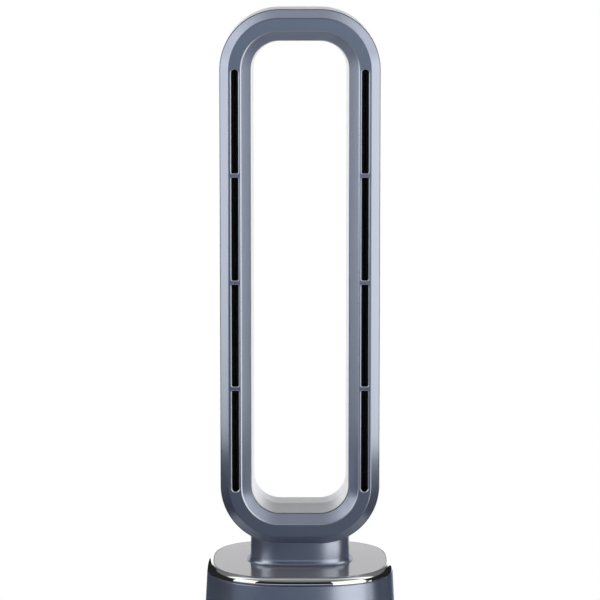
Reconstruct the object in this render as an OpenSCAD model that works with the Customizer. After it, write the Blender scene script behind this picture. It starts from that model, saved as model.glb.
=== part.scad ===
// Bladeless tower fan: a hollow loop that blows air through slots in its front face, standing on a
// base with a fan inside. The base and loop turn together on a round foot.
// Frame: Z up from the floor, the front faces -Y, and the Z axis is the swivel axis.

/* [Loop] */
// Width over the front cover
loop_w = 200; // [180:1:220]
// Height over the front cover
loop_h = 677.4; // [640:0.2:700]
// Radius of the front cover's outer corners
loop_corner_r = 74.5; // [70:0.5:78]
// Width of the band that surrounds the opening
band_w = 38.2; // [38:0.1:38.4]
// Front to back depth
loop_d = 115; // [112:1:118]
// Height of the loop's lowest edge above the top plate
loop_lift = 30.6; // [28:0.2:33]
// Wall thickness of both loop shells
loop_wall = 2.5; // [2.3:0.1:2.7]
// How far the rear shell stands out beyond the front cover
rear_proud = 1.2; // [0.8:0.1:1.6]

/* [Air slots] */
// Width of one air slot
slot_w = 8.9; // [8:0.1:9.5]
// Distance from one slot's middle to the next one's
slot_pitch = 135.2; // [125:0.2:136]
// Width of the bar between two slots
slot_bar = 5.3; // [5:0.1:8]
// Slots on each side
slot_count = 4; // [3:1:4]
// Width of the step round each slot
slot_step = 1.2; // [0.8:0.1:1.4]

/* [Base] */
// Height of the top plate's upper face
plate_z = 300; // [290:1:310]
// Half width of the square, bulging top plate
plate_half = 111.3; // [110:0.1:112]
// Radius of the plate's long side arcs
side_r = 244; // [240:1:250]
// Distance of the corner arcs' centres from the middle, across and deep
corner_c = 37.3; // [36:0.1:39]
// Outward slope of the body's wall towards the floor, in degrees
body_taper = 3; // [2:0.1:3.4]
// Wall thickness of the body
body_wall = 3; // [2.5:0.1:3.2]
// Horizontal width of the bright ring round the plate
ring_w = 7.8; // [7:0.1:8.2]
// Height of the bright ring
ring_h = 9.2; // [8.5:0.1:9.5]
// Height of the body's lower edge above the floor
body_z = 16.5; // [16.2:0.1:18]

/* [Neck] */
// Width of the neck
neck_w = 127; // [124:1:130]
// Depth of the neck
neck_d = 88; // [84:1:90]
// Radius of the neck's corners
neck_r = 38; // [35:1:40]
// Radius of the fillet where the neck meets the plate
neck_fillet = 4.5; // [3:0.5:5]

/* [Blower] */
// Inner radius of the blower housing
housing_r = 64; // [63:0.5:65]
// Radius of the impeller at its outlet
impeller_r = 62; // [58:0.5:62.4]
// Number of impeller blades
blade_count = 9; // [7:1:11]
// Number of fixed vanes behind the impeller
vane_count = 11; // [9:1:13]
// Radius of the rotor shaft
shaft_r = 4; // [3.5:0.1:4.2]

/* [Swivel] */
// Radius of the round foot
foot_r = 118; // [112:1:120]
// Radius of the hollow swivel post
post_r = 24; // [22:1:26]
// Module of the swivel gears
gear_module = 1.25; // [1.25:0.05:1.3]
// Teeth of the fixed gear on the post
fixed_teeth = 60; // [60:60:60]
// Teeth of the pinion on the swivel motor
pinion_teeth = 15; // [15:15:15]
// Radial clearance of every journal
journal_gap = 0.05; // [0.02:0.01:0.08]

/* [Controls] */
// Width of the control panel
panel_w = 56; // [54:1:60]
// Height of the control panel
panel_h = 96; // [94:1:100]
// Height of the panel's middle above the floor
panel_z = 208; // [205:1:212]
// Radius of the four small buttons
button_r = 6.2; // [5.5:0.1:6.5]
// Radius of the power button
power_r = 7.2; // [6.5:0.1:7.5]
// How far a button stands out of the panel
button_proud = 0.9; // [0.8:0.1:1.2]

/* [Hidden] */
$fn = 96;
e = 0.01;
gap = 0.2;

// Loop, drawn in a frame whose Y is the object's Z and whose Z is the object's front
span_x = loop_w - 2 * loop_corner_r;
span_y = loop_h - 2 * loop_corner_r;
loop_mid_z = plate_z + loop_lift + loop_h / 2;
hole_r = loop_corner_r - band_w;
front_h = loop_d / 2;
chamfer_out_w = 10;
chamfer_out_d = 9.5;
chamfer_in_w = 12.2;
chamfer_in_d = 12.9;
cover_wall = 2.4;
cover_edge_h = front_h - chamfer_out_d - 1.2;
cover_lip = 2.1;
cover_lip_h = 38;
seam = 0.5;
rear_r = loop_corner_r + rear_proud;
rear_front_h = cover_edge_h - seam;
rear_round_out = 20;
rear_round_in = 12;
rear_hole_r = hole_r - 1.9;
crease_r = hole_r - 2.9;
crease_h = -5;
slot_r = loop_corner_r - 18.3;
slot_x = span_x / 2 + slot_r;
slot_len = slot_pitch - slot_bar;
slot_mid = -2.7;
slot_end_r = 2;
slot_step_d = 0.8;
guide_w = 13.1;
guide_d = 24;
guide_space = 7.3;
guide_front_h = front_h - cover_wall - gap;
guide_len = slot_count * slot_pitch + 6;
nozzle_w = 2;
nozzle_d = 5;

// Screw posts that join the two loop shells
post_out_r = 4;
post_joint_h = 20;
post_side_r = 44;
post_corner_r = 56;
post_front_side_h = front_h - 6.6;
post_front_corner_h = front_h - 1.6;
screw_r = 1.45;
screw_hole_r = 1.65;
screw_pilot_r = 1.5;
screw_head_r = 2.7;
screw_well_r = 2.95;

// Base outline: long arcs on the sides and short arcs at the corners. They are tangent, but for a
// step too small to see, which keeps their solids overlapping cleanly where they join.
arc_step = 0.04;
side_c = side_r - plate_half;
tangent_angle = atan(corner_c / (corner_c + side_c));
side_half_angle = ceil(tangent_angle * 10) / 10;
corner_r = side_r - corner_c / sin(tangent_angle) + arc_step;
slab_fill = 38;
ring_gap = 0.3;
body_top_z = plate_z - ring_h - 0.6;
body_top_s = ring_gap + ring_w + 0.1;
flange_z = plate_z - 16;
flange_t = 3;
plate_t = 3.2;
deck_t = 4;
floor_z = 16;
floor_t = 4;

// Air duct between the blower and the loop
duct_w = 104;
duct_d = 66;
duct_r = 20;
duct_wall = 2;
duct_top_z = plate_z + 40;
hole_margin = 1;

// Blower
housing_wall = 2.5;
housing_z = 92;
housing_h = 170;
housing_top_z = housing_z + housing_h;
bell_z = 76;
impeller_z = 94;
impeller_h = 40;
impeller_gap = 0.03;
bucket_z = 140;
bucket_h = 96;
bucket_r = 44;
bucket_wall = 2.5;
vane_z = 150;
vane_h = 42;
stator_z = 165;
stator_h = 30;
stator_r = 36;
magnet_r = 17;
bearing_r = 11;
bearing_h = 8;
lower_bearing_z = bucket_z + 3;
upper_bearing_z = 205;
shaft_z = 98;
shaft_top_z = 222;
mount_r = 77;

// Foot and swivel
feet_h = 2.5;
foot_t = 4.5;
foot_top_z = 14;
rim_z = 13;
rim_t = 4;
boss_r = 36;
gear_z = 31;
gear_h = 6;
post_top_z = gear_z + gear_h;
pressure_angle = 25;
backlash = 0.2;
wire_r = 10;
fixed_pitch_r = gear_module * fixed_teeth / 2;
pinion_pitch_r = gear_module * pinion_teeth / 2;
pinion_y = fixed_pitch_r + pinion_pitch_r;
pinion_phase = 180 / pinion_teeth / 2;
grommet_z = 7.9;
grommet_r = 4.9;
grommet_l = 5.9;
cord_r = 3.6;

// Intake in the back of the body
window_w = 150;
window_low_z = 45;
window_high_z = 235;
louvre_count = 19;
louvre_pitch = 7.4;
louvre_w = 4;

// Buttons: the places are on the panel's face, across and up from its middle
small_places = [[-15, 2], [15, 2], [-15, -17], [15, -17]];
power_place = [0, -34];
lens_place = [0, 28];
lens_w = 38;
lens_h = 20;
stem_depth = 8;
button_flange = 1.4;

black = [0.05, 0.05, 0.055];
cover_grey = [0.40, 0.43, 0.50];
silver = [0.78, 0.79, 0.81];
plate_grey = [0.70, 0.70, 0.72];
chrome = [0.86, 0.87, 0.88];
dark_grey = [0.22, 0.23, 0.25];
white = [0.88, 0.88, 0.87];
steel = [0.62, 0.63, 0.65];
brass = [0.78, 0.62, 0.30];
copper = [0.72, 0.42, 0.24];
green = [0.08, 0.30, 0.16];

// Points of an arc, from angle a0 to a1 in n steps
function arc(cx, cy, r, a0, a1, n) =
    [for (i = [0:n]) let (a = a0 + (a1 - a0) * i / n) [cx + r * cos(a), cy + r * sin(a)]];

// Outward offset of the body's wall from the plate's outline at height z
function body_s(z) = body_top_s + (body_top_z - z) * tan(body_taper);

// Sweeps a profile round a rounded rectangle in the XY plane. The profile's X is the distance
// outside the corner centres, which span span_a by span_b.
module round_path(span_a, span_b) {
    for (turn = [0:3]) {
        across = turn % 2 == 0 ? span_a : span_b;
        along = turn % 2 == 0 ? span_b : span_a;
        rotate(90 * turn) translate([across / 2, along / 2]) {
            rotate_extrude(angle = 90) children();
            rotate([90, 0, 0]) linear_extrude(along) children();
        }
    }
}

// A bar with rounded corners, standing on the XY plane
module rounded_bar(w, d, r, h) {
    span_a = w - 2 * r;
    span_b = d - 2 * r;
    round_path(span_a, span_b) square([r, h]);
    translate([-span_a / 2, -span_b / 2, 0]) cube([span_a, span_b, h]);
}

// Sweeps a profile round the base's outline. The profile's X is the distance outside it.
module base_path() {
    for (turn = [0:3]) rotate(90 * turn) {
        translate([-side_c, 0]) rotate(-side_half_angle)
            rotate_extrude(angle = 2 * side_half_angle) translate([side_r, 0]) children();
        translate([corner_c, corner_c]) rotate(side_half_angle)
            rotate_extrude(angle = 90 - 2 * side_half_angle) translate([corner_r, 0]) children();
    }
}

// A plate with the base's outline, s outside the top plate's
module base_slab(s, z, t) {
    rim = corner_r / 2;
    long = 2 * (plate_half + s) - rim;
    short = 2 * (corner_c + slab_fill);
    base_path() translate([s - rim, z]) square([rim, t]);
    translate([-long / 2, -short / 2, z]) cube([long, short, t]);
    translate([-short / 2, -long / 2, z]) cube([short, long, t]);
}

// A tube between two radii
module tube(r_out, r_in, h) {
    difference() {
        cylinder(r = r_out, h = h);
        translate([0, 0, -1]) cylinder(r = r_in, h = h + 2);
    }
}

// Copies its children to n places round the Z axis
module around(n, r, first = 0) {
    for (i = [0:n - 1]) rotate(first + 360 * i / n) translate([r, 0, 0]) children();
}

// The loop's own frame: X across, Y up, Z towards the front
module in_loop() {
    translate([0, 0, loop_mid_z]) rotate([90, 0, 0]) children();
}

// The control panel's own frame: X across, Y up its face, Z out of it
module on_panel() {
    translate([0, -plate_half - body_s(panel_z), panel_z]) rotate([90 - body_taper, 0, 0])
        children();
}

// Places of the loop's screw posts, as [x, y, height of the front post]
post_places = concat(
    [for (side = [-1, 1], row = [-1:1])
        [side * (span_x / 2 + post_side_r), slot_mid + row * slot_pitch, post_front_side_h]],
    [for (side = [-1, 1], end = [-1, 1])
        [side * (span_x / 2 + post_corner_r * cos(45)),
         end * (span_y / 2 + post_corner_r * sin(45)), post_front_corner_h]],
    [[0, span_y / 2 + post_corner_r, post_front_corner_h]]
);

// Foot

module foot_plate() {
    color(dark_grey) difference() {
        union() {
            translate([0, 0, feet_h]) cylinder(r = foot_r, h = foot_t);
            translate([0, 0, feet_h]) tube(foot_r, foot_r - rim_t, rim_z - feet_h);
            translate([0, 0, feet_h]) cylinder(r = boss_r, h = foot_top_z - feet_h);
        }
        translate([0, 0, feet_h - 1]) cylinder(r = wire_r, h = foot_top_z);
        translate([0, foot_r - 10, grommet_z]) rotate([-90, 0, 0])
            cylinder(r = grommet_r + 0.1, h = 20);
        around(3, 30, 90) translate([0, 0, feet_h - 1]) cylinder(r = 1.7, h = foot_top_z);
    }
}

module rubber_feet() {
    color(black) around(6, 102, 30) cylinder(r = 9, h = feet_h);
}

module ballast_plate() {
    color(steel) translate([0, 0, feet_h + foot_t]) tube(104, boss_r + 1, 6);
}

module swivel_post() {
    color(white) difference() {
        union() {
            translate([0, 0, foot_top_z]) cylinder(r = post_r, h = post_top_z - foot_top_z);
            translate([0, 0, foot_top_z]) cylinder(r = boss_r - 1, h = 1.5);
        }
        translate([0, 0, foot_top_z - 1]) cylinder(r = wire_r, h = 40);
        around(3, 30, 90) translate([0, 0, foot_top_z - 1]) cylinder(r = 1.7, h = 4);
        around(3, 17, 30) translate([0, 0, post_top_z - 8]) cylinder(r = screw_pilot_r, h = 9);
    }
}

module post_screws() {
    color(steel) around(3, 30, 90) {
        translate([0, 0, feet_h + 0.5]) cylinder(r = 1.6, h = foot_top_z + 0.8 - feet_h);
        translate([0, 0, 0.6]) cylinder(r = 3, h = feet_h - 0.6);
    }
}

module slide_ring() {
    color(white) translate([0, 0, foot_top_z + 1.5]) tube(boss_r - 1, post_r + 0.3, 0.4);
}

function involute(r, base_r) =
    let (t = sqrt(max(0, pow(r / base_r, 2) - 1))) t * 180 / PI - atan(t);

// Outline of an involute gear with a tooth centred on the X axis
module gear_outline(teeth) {
    pitch_r = gear_module * teeth / 2;
    base_r = pitch_r * cos(pressure_angle);
    root_r = pitch_r - 1.25 * gear_module;
    tip_r = pitch_r + gear_module;
    low_r = max(root_r, base_r);
    steps = 4;
    half_pitch = 90 / teeth - backlash / 2 / pitch_r * 180 / PI + involute(pitch_r, base_r);
    flank = [for (i = [0:steps]) let (r = low_r + (tip_r - low_r) * i / steps)
        [r, half_pitch - involute(r, base_r)]];
    half = root_r < base_r ? concat([[root_r, half_pitch]], flank) : flank;
    n = len(half);
    polygon([for (k = [0:teeth - 1], i = [0:2 * n - 1])
        let (p = i < n ? half[i] : half[2 * n - 1 - i],
             a = 360 * k / teeth + (i < n ? -1 : 1) * p[1])
        p[0] * [cos(a), sin(a)]]);
}

module fixed_gear() {
    color(white) translate([0, 0, gear_z]) difference() {
        linear_extrude(gear_h) gear_outline(fixed_teeth);
        translate([0, 0, -1]) cylinder(r = post_r + 0.02, h = gear_h + 2);
    }
}

module retaining_plate() {
    color(steel) translate([0, 0, post_top_z]) difference() {
        cylinder(r = post_r + 9, h = 2);
        translate([0, 0, -1]) cylinder(r = wire_r, h = 4);
        around(3, 17, 30) translate([0, 0, -1]) cylinder(r = screw_hole_r, h = 4);
    }
}

module retainer_screws() {
    color(steel) around(3, 17, 30) {
        translate([0, 0, post_top_z - 7]) cylinder(r = screw_r, h = 9.5);
        translate([0, 0, post_top_z + 2]) cylinder(r = screw_head_r, h = 2);
    }
}

module cord_grommet() {
    color(black) translate([0, foot_r - 6, grommet_z]) rotate([-90, 0, 0])
        tube(grommet_r, cord_r, grommet_l);
}

// Body

module body_floor() {
    color(dark_grey) difference() {
        union() {
            base_slab(18.6, floor_z, floor_t);
            translate([0, 0, floor_z]) cylinder(r = post_r + 6, h = gear_z - floor_z - 0.6);
            for (side = [-1, 1]) translate([side * 31, pinion_y, floor_z])
                cylinder(r = 4, h = gear_z + gear_h + 4 - floor_z);
        }
        translate([0, 0, floor_z - 1]) cylinder(r = post_r + journal_gap, h = 40);
        around(4, 112, 45) translate([0, 0, floor_z - 1]) cylinder(r = screw_hole_r, h = 6);
    }
}

module wall_profile() {
    inner_s = body_wall;
    polygon([
        [body_s(body_top_z) - 0.8, body_top_z],
        [body_s(body_top_z - 0.8), body_top_z - 0.8],
        [body_s(body_z), body_z],
        [body_s(body_z) - inner_s, body_z],
        [body_s(flange_z) - inner_s, flange_z],
        [-10, flange_z],
        [-10, flange_z + flange_t],
        [body_s(flange_z + flange_t) - inner_s, flange_z + flange_t],
        [body_s(body_top_z) - inner_s, body_top_z]
    ]);
}

// Straight prism through the front wall, with the panel's outline
module panel_prism(w, h, r, place = [0, 0]) {
    on_panel() translate([place[0], place[1], -7]) rounded_bar(w, h, r, 14);
}

module window_prism(margin) {
    translate([0, 60, (window_low_z + window_high_z) / 2]) rotate([-90, 0, 0])
        rounded_bar(window_w - 2 * margin, window_high_z - window_low_z - 2 * margin, 8, 100);
}

module body_shell() {
    color(cover_grey) {
        difference() {
            base_path() wall_profile();
            panel_prism(panel_w, panel_h, 10);
            window_prism(0);
            around(4, 108, 45) translate([0, 0, flange_z - 1]) cylinder(r = screw_hole_r, h = 5);
        }
        around(4, 112, 45) translate([0, 0, floor_z + floor_t + 0.1])
            tube(4, screw_pilot_r, 14);
        around(4, 115.5, 45) translate([0, -1.5, floor_z + floor_t + 0.1]) cube([27, 3, 14]);
    }
}

module floor_screws() {
    color(steel) around(4, 112, 45) {
        translate([0, 0, floor_z - 1]) cylinder(r = screw_r, h = 16);
        translate([0, 0, floor_z - 2]) cylinder(r = screw_head_r, h = 1.9);
    }
}

// A skin inside the body's wall, from in to out below its outer face
module wall_skin(out, in) {
    low = window_low_z - 1;
    high = window_high_z + 1;
    base_path() polygon([
        [body_s(low) - out, low],
        [body_s(high) - out, high],
        [body_s(high) - in, high],
        [body_s(low) - in, low]
    ]);
}

module intake_grille() {
    color(dark_grey) difference() {
        intersection() {
            wall_skin(0.4, 2.8);
            window_prism(0.3);
        }
        for (i = [0:louvre_count - 1])
            translate([(i - (louvre_count - 1) / 2) * louvre_pitch - louvre_w / 2, 60,
                       window_low_z + 8])
                cube([louvre_w, 100, window_high_z - window_low_z - 16]);
    }
}

module intake_filter() {
    color(black) intersection() {
        wall_skin(4, 7);
        window_prism(-2);
    }
}

module deck() {
    color(dark_grey) difference() {
        base_slab(4.8, flange_z - deck_t, deck_t);
        translate([0, 0, flange_z - deck_t - 1])
            rounded_bar(duct_w + 2 * hole_margin, duct_d + 2 * hole_margin, duct_r, deck_t + 2);
        around(4, 108, 45) translate([0, 0, flange_z - deck_t - 1])
            cylinder(r = screw_pilot_r, h = deck_t + 2);
        around(4, mount_r, 45) translate([0, 0, flange_z - deck_t - 1])
            cylinder(r = screw_pilot_r, h = deck_t + 2);
    }
}

module deck_screws() {
    color(steel) around(4, 108, 45) {
        translate([0, 0, flange_z - 3.5]) cylinder(r = screw_r, h = flange_t + 4);
        translate([0, 0, flange_z + flange_t]) cylinder(r = screw_head_r, h = 2);
    }
}

module top_plate() {
    color(plate_grey) difference() {
        union() {
            base_slab(0, plate_z - plate_t, plate_t);
            base_path() translate([-2.7, flange_z + flange_t + 0.1])
                square([2.7, plate_z - flange_z - flange_t - 1]);
        }
        translate([0, 0, plate_z - plate_t - 1])
            rounded_bar(duct_w + 2 * hole_margin, duct_d + 2 * hole_margin, duct_r, plate_t + 2);
    }
}

module chrome_ring() {
    low = plate_z - ring_h;
    base_z = flange_z + flange_t + 0.1;
    color(chrome) base_path() polygon(concat(
        [for (a = [0:11.25:90])
            [ring_gap + ring_w * sin(a), low + ring_h * cos(a)]],
        [[4.8, low], [4.8, base_z], [ring_gap, base_z]]
    ));
}

module neck() {
    wall = 6;
    hole_corner_r = duct_r + 4;
    span_a = neck_w - 2 * neck_r;
    span_b = neck_d - 2 * neck_r;
    rise = 46;
    color(cover_grey) difference() {
        union() {
            translate([0, 0, plate_z]) rounded_bar(neck_w, neck_d, neck_r, rise);
            translate([0, 0, plate_z]) round_path(span_a, span_b) polygon(concat(
                [[neck_r - wall / 2, 0]],
                arc(neck_r + neck_fillet, neck_fillet, neck_fillet, 270, 180, 6),
                [[neck_r - wall / 2, neck_fillet]]
            ));
        }
        translate([0, 0, plate_z - 1])
            rounded_bar(neck_w - 2 * wall, neck_d - 2 * wall, hole_corner_r, rise + 2);
        in_loop() translate([0, 0, -loop_d]) {
            round_path(span_x, span_y) square([rear_r + gap, 2 * loop_d]);
            translate([-span_x / 2, -span_y / 2, 0]) cube([span_x, span_y, 2 * loop_d]);
        }
    }
}

module neck_duct() {
    color(black) difference() {
        union() {
            translate([0, 0, housing_top_z + gap]) cylinder(r = housing_r + 2, h = 2.5);
            translate([0, 0, housing_top_z + gap])
                rounded_bar(duct_w, duct_d, duct_r, duct_top_z - housing_top_z - gap);
        }
        translate([0, 0, housing_top_z - 1])
            rounded_bar(duct_w - 2 * duct_wall, duct_d - 2 * duct_wall, duct_r - duct_wall,
                        duct_top_z - housing_top_z + 2);
    }
}

module loop_gasket() {
    grow = 2 * (hole_margin - 0.1);
    color(black) translate([0, 0, plate_z + 26]) difference() {
        rounded_bar(duct_w + grow, duct_d + grow, duct_r, 17);
        translate([0, 0, -1]) rounded_bar(duct_w + 0.2, duct_d + 0.2, duct_r, 19);
    }
}

// Controls

module panel_band(out, in) {
    low = panel_z - panel_h / 2 - 2;
    high = panel_z + panel_h / 2 + 2;
    base_path() polygon([
        [body_s(low) - out, low],
        [body_s(high) - out, high],
        [body_s(high) - in, high],
        [body_s(low) - in, low]
    ]);
}

module control_panel() {
    color(black) {
        difference() {
            intersection() {
                panel_band(0, 3);
                panel_prism(panel_w - 2 * gap, panel_h - 2 * gap, 10 - gap);
            }
            panel_prism(lens_w + 2 * gap, lens_h + 2 * gap, 4, lens_place);
            for (place = small_places) on_panel() translate([place[0], place[1], -7])
                cylinder(r = button_r + 0.3, h = 14);
            on_panel() translate([power_place[0], power_place[1], -7])
                cylinder(r = power_r + 0.3, h = 14);
        }
        on_panel() for (sx = [-1, 1], sy = [-1, 1]) translate([sx * 22.5, sy * 41, -12])
            cylinder(r = 2.2, h = 9.5);
    }
}

module display_lens() {
    color(black) intersection() {
        panel_band(0, 2.2);
        panel_prism(lens_w, lens_h, 4, lens_place);
    }
}

module control_board() {
    color(green) on_panel() {
        translate([-25, -45, -13.6]) cube([50, 90, 1.6]);
        for (place = concat(small_places, [power_place]))
            translate([place[0], place[1], -12.1]) cylinder(r = 2, h = 3.1);
        translate([lens_place[0] - 17, lens_place[1] - 9, -12.1]) cube([34, 18, 7]);
    }
}

// One button, with its cap standing out of the panel and a flange behind it
module button(r, place) {
    color(dark_grey) on_panel() translate([place[0], place[1], 0]) {
        translate([0, 0, -stem_depth]) cylinder(r = r, h = stem_depth + button_proud - 0.3);
        translate([0, 0, -5.8]) cylinder(r = r + 1.3, h = button_flange);
    }
}

module power_button() button(power_r, power_place);
module speed_down_button() button(button_r, small_places[0]);
module speed_up_button() button(button_r, small_places[1]);
module timer_button() button(button_r, small_places[2]);
module swivel_button() button(button_r, small_places[3]);

module power_board() {
    color(green) {
        translate([-100, -38, 28]) cube([1.6, 76, 44]);
        translate([-98.5, -30, 34]) cube([14, 20, 22]);
        translate([-98.5, 0, 36]) cube([10, 26, 16]);
        for (y = [-6, 32]) translate([-98.5, y, 44]) rotate([0, 90, 0]) cylinder(r = 4, h = 12);
    }
    color(white) for (y = [-34, 34]) translate([-101, y - 2, floor_z + floor_t])
        cube([4, 4, 8]);
}

module swivel_motor() {
    can_z = gear_z + gear_h + 5.7;
    color(steel) {
        translate([0, pinion_y, can_z]) cylinder(r = 25, h = 15);
        translate([0, pinion_y, gear_z + gear_h - 2]) cylinder(r = 3, h = 8);
        difference() {
            translate([-36, pinion_y - 5, gear_z + gear_h + 4]) cube([72, 10, 1.8]);
            for (side = [-1, 1]) translate([side * 31, pinion_y, gear_z + gear_h + 3])
                cylinder(r = screw_hole_r, h = 4);
        }
    }
}

module swivel_pinion() {
    color(brass) translate([0, pinion_y, gear_z]) difference() {
        linear_extrude(gear_h) rotate(-pinion_phase) gear_outline(pinion_teeth);
        translate([0, 0, gear_h - 2.2]) cylinder(r = 3 + journal_gap, h = 4);
    }
}

// Blower

module blower_housing() {
    color(white) difference() {
        union() {
            translate([0, 0, housing_z]) tube(housing_r + housing_wall, housing_r, housing_h);
            translate([0, 0, housing_top_z - 4]) tube(housing_r + 20, housing_r, 4);
        }
        around(4, mount_r, 45) translate([0, 0, housing_top_z - 5])
            cylinder(r = screw_hole_r, h = 6);
    }
}

module inlet_bell() {
    color(white) rotate_extrude() polygon(concat(
        arc(housing_r + 14, housing_z - 2, 26, 180, 270, 8),
        [[housing_r + 14, bell_z - 9.5]],
        arc(housing_r + 14, housing_z - 2, 23.5, 270, 196, 8),
        [[housing_r + housing_wall, bell_z + 8], [housing_r + housing_wall, housing_z - gap],
         [52, housing_z - gap]]
    ));
}

module blower_isolators() {
    color(black) around(4, mount_r, 45) translate([0, 0, housing_top_z + 0.1])
        tube(6, screw_hole_r, flange_z - deck_t - housing_top_z - 0.2);
}

module blower_screws() {
    color(steel) around(4, mount_r, 45) {
        translate([0, 0, housing_top_z - 6]) cylinder(r = screw_r, h = 26);
        translate([0, 0, housing_top_z - 6]) cylinder(r = screw_head_r, h = 1.9);
    }
}

module motor_bucket() {
    color(white) {
        difference() {
            translate([0, 0, bucket_z]) cylinder(r = bucket_r, h = bucket_h);
            translate([0, 0, bucket_z + 3]) cylinder(r = bucket_r - bucket_wall, h = bucket_h);
            translate([0, 0, bucket_z - 1]) cylinder(r = shaft_r + 2, h = 5);
        }
        translate([0, 0, bucket_z + 3 - e]) tube(bearing_r + 3, bearing_r + 0.02, bearing_h);
        intersection() {
            around(vane_count, bucket_r - 1) translate([0, 0, vane_z + vane_h / 2])
                rotate([28, 0, 0]) cube([50, 2, 70], center = true);
            translate([0, 0, vane_z]) tube(housing_r - 0.1, bucket_r - 1, vane_h);
        }
    }
}

module motor_endcap() {
    color(white) translate([0, 0, upper_bearing_z - 2]) difference() {
        cylinder(r = bucket_r - bucket_wall - 0.1, h = bearing_h + 2);
        translate([0, 0, -1]) cylinder(r = shaft_r + 2, h = 12);
        translate([0, 0, 2]) cylinder(r = bearing_r + 0.02, h = 12);
        around(6, 30) translate([0, 0, -1]) cylinder(r = 6, h = 14);
    }
}

module motor_cap() {
    color(white) translate([0, 0, bucket_z + bucket_h + 0.1]) rotate_extrude() polygon(concat(
        [[0, 0]],
        arc(0, 0, bucket_r, 0, 90, 9) * [[1, 0], [0, 0.5]]
    ));
}

module motor_stator() {
    color(steel) translate([0, 0, stator_z]) difference() {
        cylinder(r = stator_r, h = stator_h);
        translate([0, 0, -1]) cylinder(r = magnet_r + 0.8, h = stator_h + 2);
        around(9, 26) translate([-5, -3, -1]) cube([10, 6, stator_h + 2]);
    }
    color(steel) translate([0, 0, stator_z]) tube(bucket_r - bucket_wall - 0.1, stator_r - e, 12);
}

module stator_windings() {
    color(copper) around(9, 26) translate([-4.6, -2.6, stator_z - 5])
        cube([9.2, 5.2, stator_h + 10]);
}

module bearing(z) {
    color(steel) translate([0, 0, z]) tube(bearing_r, shaft_r + journal_gap, bearing_h);
}

module lower_bearing() bearing(lower_bearing_z);
module upper_bearing() bearing(upper_bearing_z);

module rotor_shaft() {
    color(steel) translate([0, 0, shaft_z]) cylinder(r = shaft_r, h = shaft_top_z - shaft_z);
}

module rotor_magnet() {
    color(dark_grey) translate([0, 0, stator_z - 2])
        tube(magnet_r, shaft_r + impeller_gap, stator_h + 4);
}

module impeller() {
    hub_profile = concat(
        [[shaft_r + impeller_gap, 0], [10, 0]],
        [for (i = [0:6]) [14 + 26 * pow(i / 6, 1.6), 2 + (impeller_h - 2) * i / 6]],
        [[shaft_r + impeller_gap, impeller_h]]
    );
    color(dark_grey) translate([0, 0, impeller_z + 5]) {
        rotate_extrude() polygon(hub_profile);
        intersection() {
            around(blade_count, 10) rotate([38, 0, 0]) translate([0, -1, -20])
                cube([impeller_r, 2, 90]);
            rotate_extrude() polygon([
                [12, 4], [44, 4], [50, 12], [impeller_r, 31], [impeller_r, 37], [37, 37]
            ]);
        }
    }
}

module impeller_nut() {
    color(brass) translate([0, 0, impeller_z - 4]) difference() {
        cylinder(r = 7, h = 8.9, $fn = 6);
        translate([0, 0, 3.9]) cylinder(r = shaft_r + impeller_gap, h = 8);
    }
}

// Loop

module rear_profile() {
    polygon(concat(
        [[rear_r, rear_front_h]],
        arc(rear_r - rear_round_out, rear_round_out - front_h, rear_round_out, 0, -90, 6),
        arc(rear_hole_r + rear_round_in, rear_round_in - front_h, rear_round_in, 270, 180, 5),
        [[crease_r, crease_h], [hole_r - 0.1, front_h - chamfer_in_d - 0.4]],
        [[hole_r - 0.1 + loop_wall, front_h - chamfer_in_d - 0.4],
         [crease_r + loop_wall, crease_h]],
        arc(rear_hole_r + rear_round_in, rear_round_in - front_h,
            rear_round_in - loop_wall, 180, 270, 5),
        arc(rear_r - rear_round_out, rear_round_out - front_h,
            rear_round_out - loop_wall, -90, 0, 6),
        [[rear_r - loop_wall, rear_front_h]]
    ));
}

module rear_shell() {
    color(silver) difference() {
        union() {
            in_loop() round_path(span_x, span_y) rear_profile();
            in_loop() for (p = post_places) translate([p[0], p[1], -front_h + 1])
                cylinder(r = post_out_r, h = post_joint_h + front_h - 1);
        }
        in_loop() for (p = post_places) translate([p[0], p[1], -front_h - 1]) {
            cylinder(r = screw_well_r, h = post_joint_h + front_h - 3);
            cylinder(r = screw_hole_r, h = post_joint_h + front_h + 2);
        }
        translate([0, 0, plate_z + 20])
            rounded_bar(duct_w + 2 * hole_margin, duct_d + 2 * hole_margin, duct_r, 30);
    }
}

module cover_profile() {
    flat_out = loop_corner_r - chamfer_out_w;
    flat_in = hole_r + chamfer_in_w;
    slope_in = chamfer_in_d / chamfer_in_w;
    slope_out = chamfer_out_d / chamfer_out_w;
    back_h = front_h - cover_wall;
    shift_in = cover_wall * (sqrt(1 + pow(slope_in, 2)) - 1) / slope_in;
    shift_out = cover_wall * (sqrt(1 + pow(slope_out, 2)) - 1) / slope_out;
    lip_in = hole_r + 2.6;
    lip_out = loop_corner_r - 1.5;
    polygon([
        [loop_corner_r, cover_edge_h],
        [loop_corner_r, front_h - chamfer_out_d],
        [flat_out, front_h],
        [flat_in, front_h],
        [hole_r, front_h - chamfer_in_d],
        [lip_in, front_h - chamfer_in_d],
        [lip_in, cover_lip_h],
        [lip_in + cover_lip, cover_lip_h],
        [lip_in + cover_lip, back_h - (flat_in + shift_in - lip_in - cover_lip) * slope_in],
        [flat_in + shift_in, back_h],
        [flat_out - shift_out, back_h],
        [lip_out - cover_lip, back_h - (lip_out - cover_lip - flat_out + shift_out) * slope_out],
        [lip_out - cover_lip, cover_lip_h + 2],
        [lip_out, cover_lip_h + 2],
        [lip_out, cover_edge_h]
    ]);
}

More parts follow.
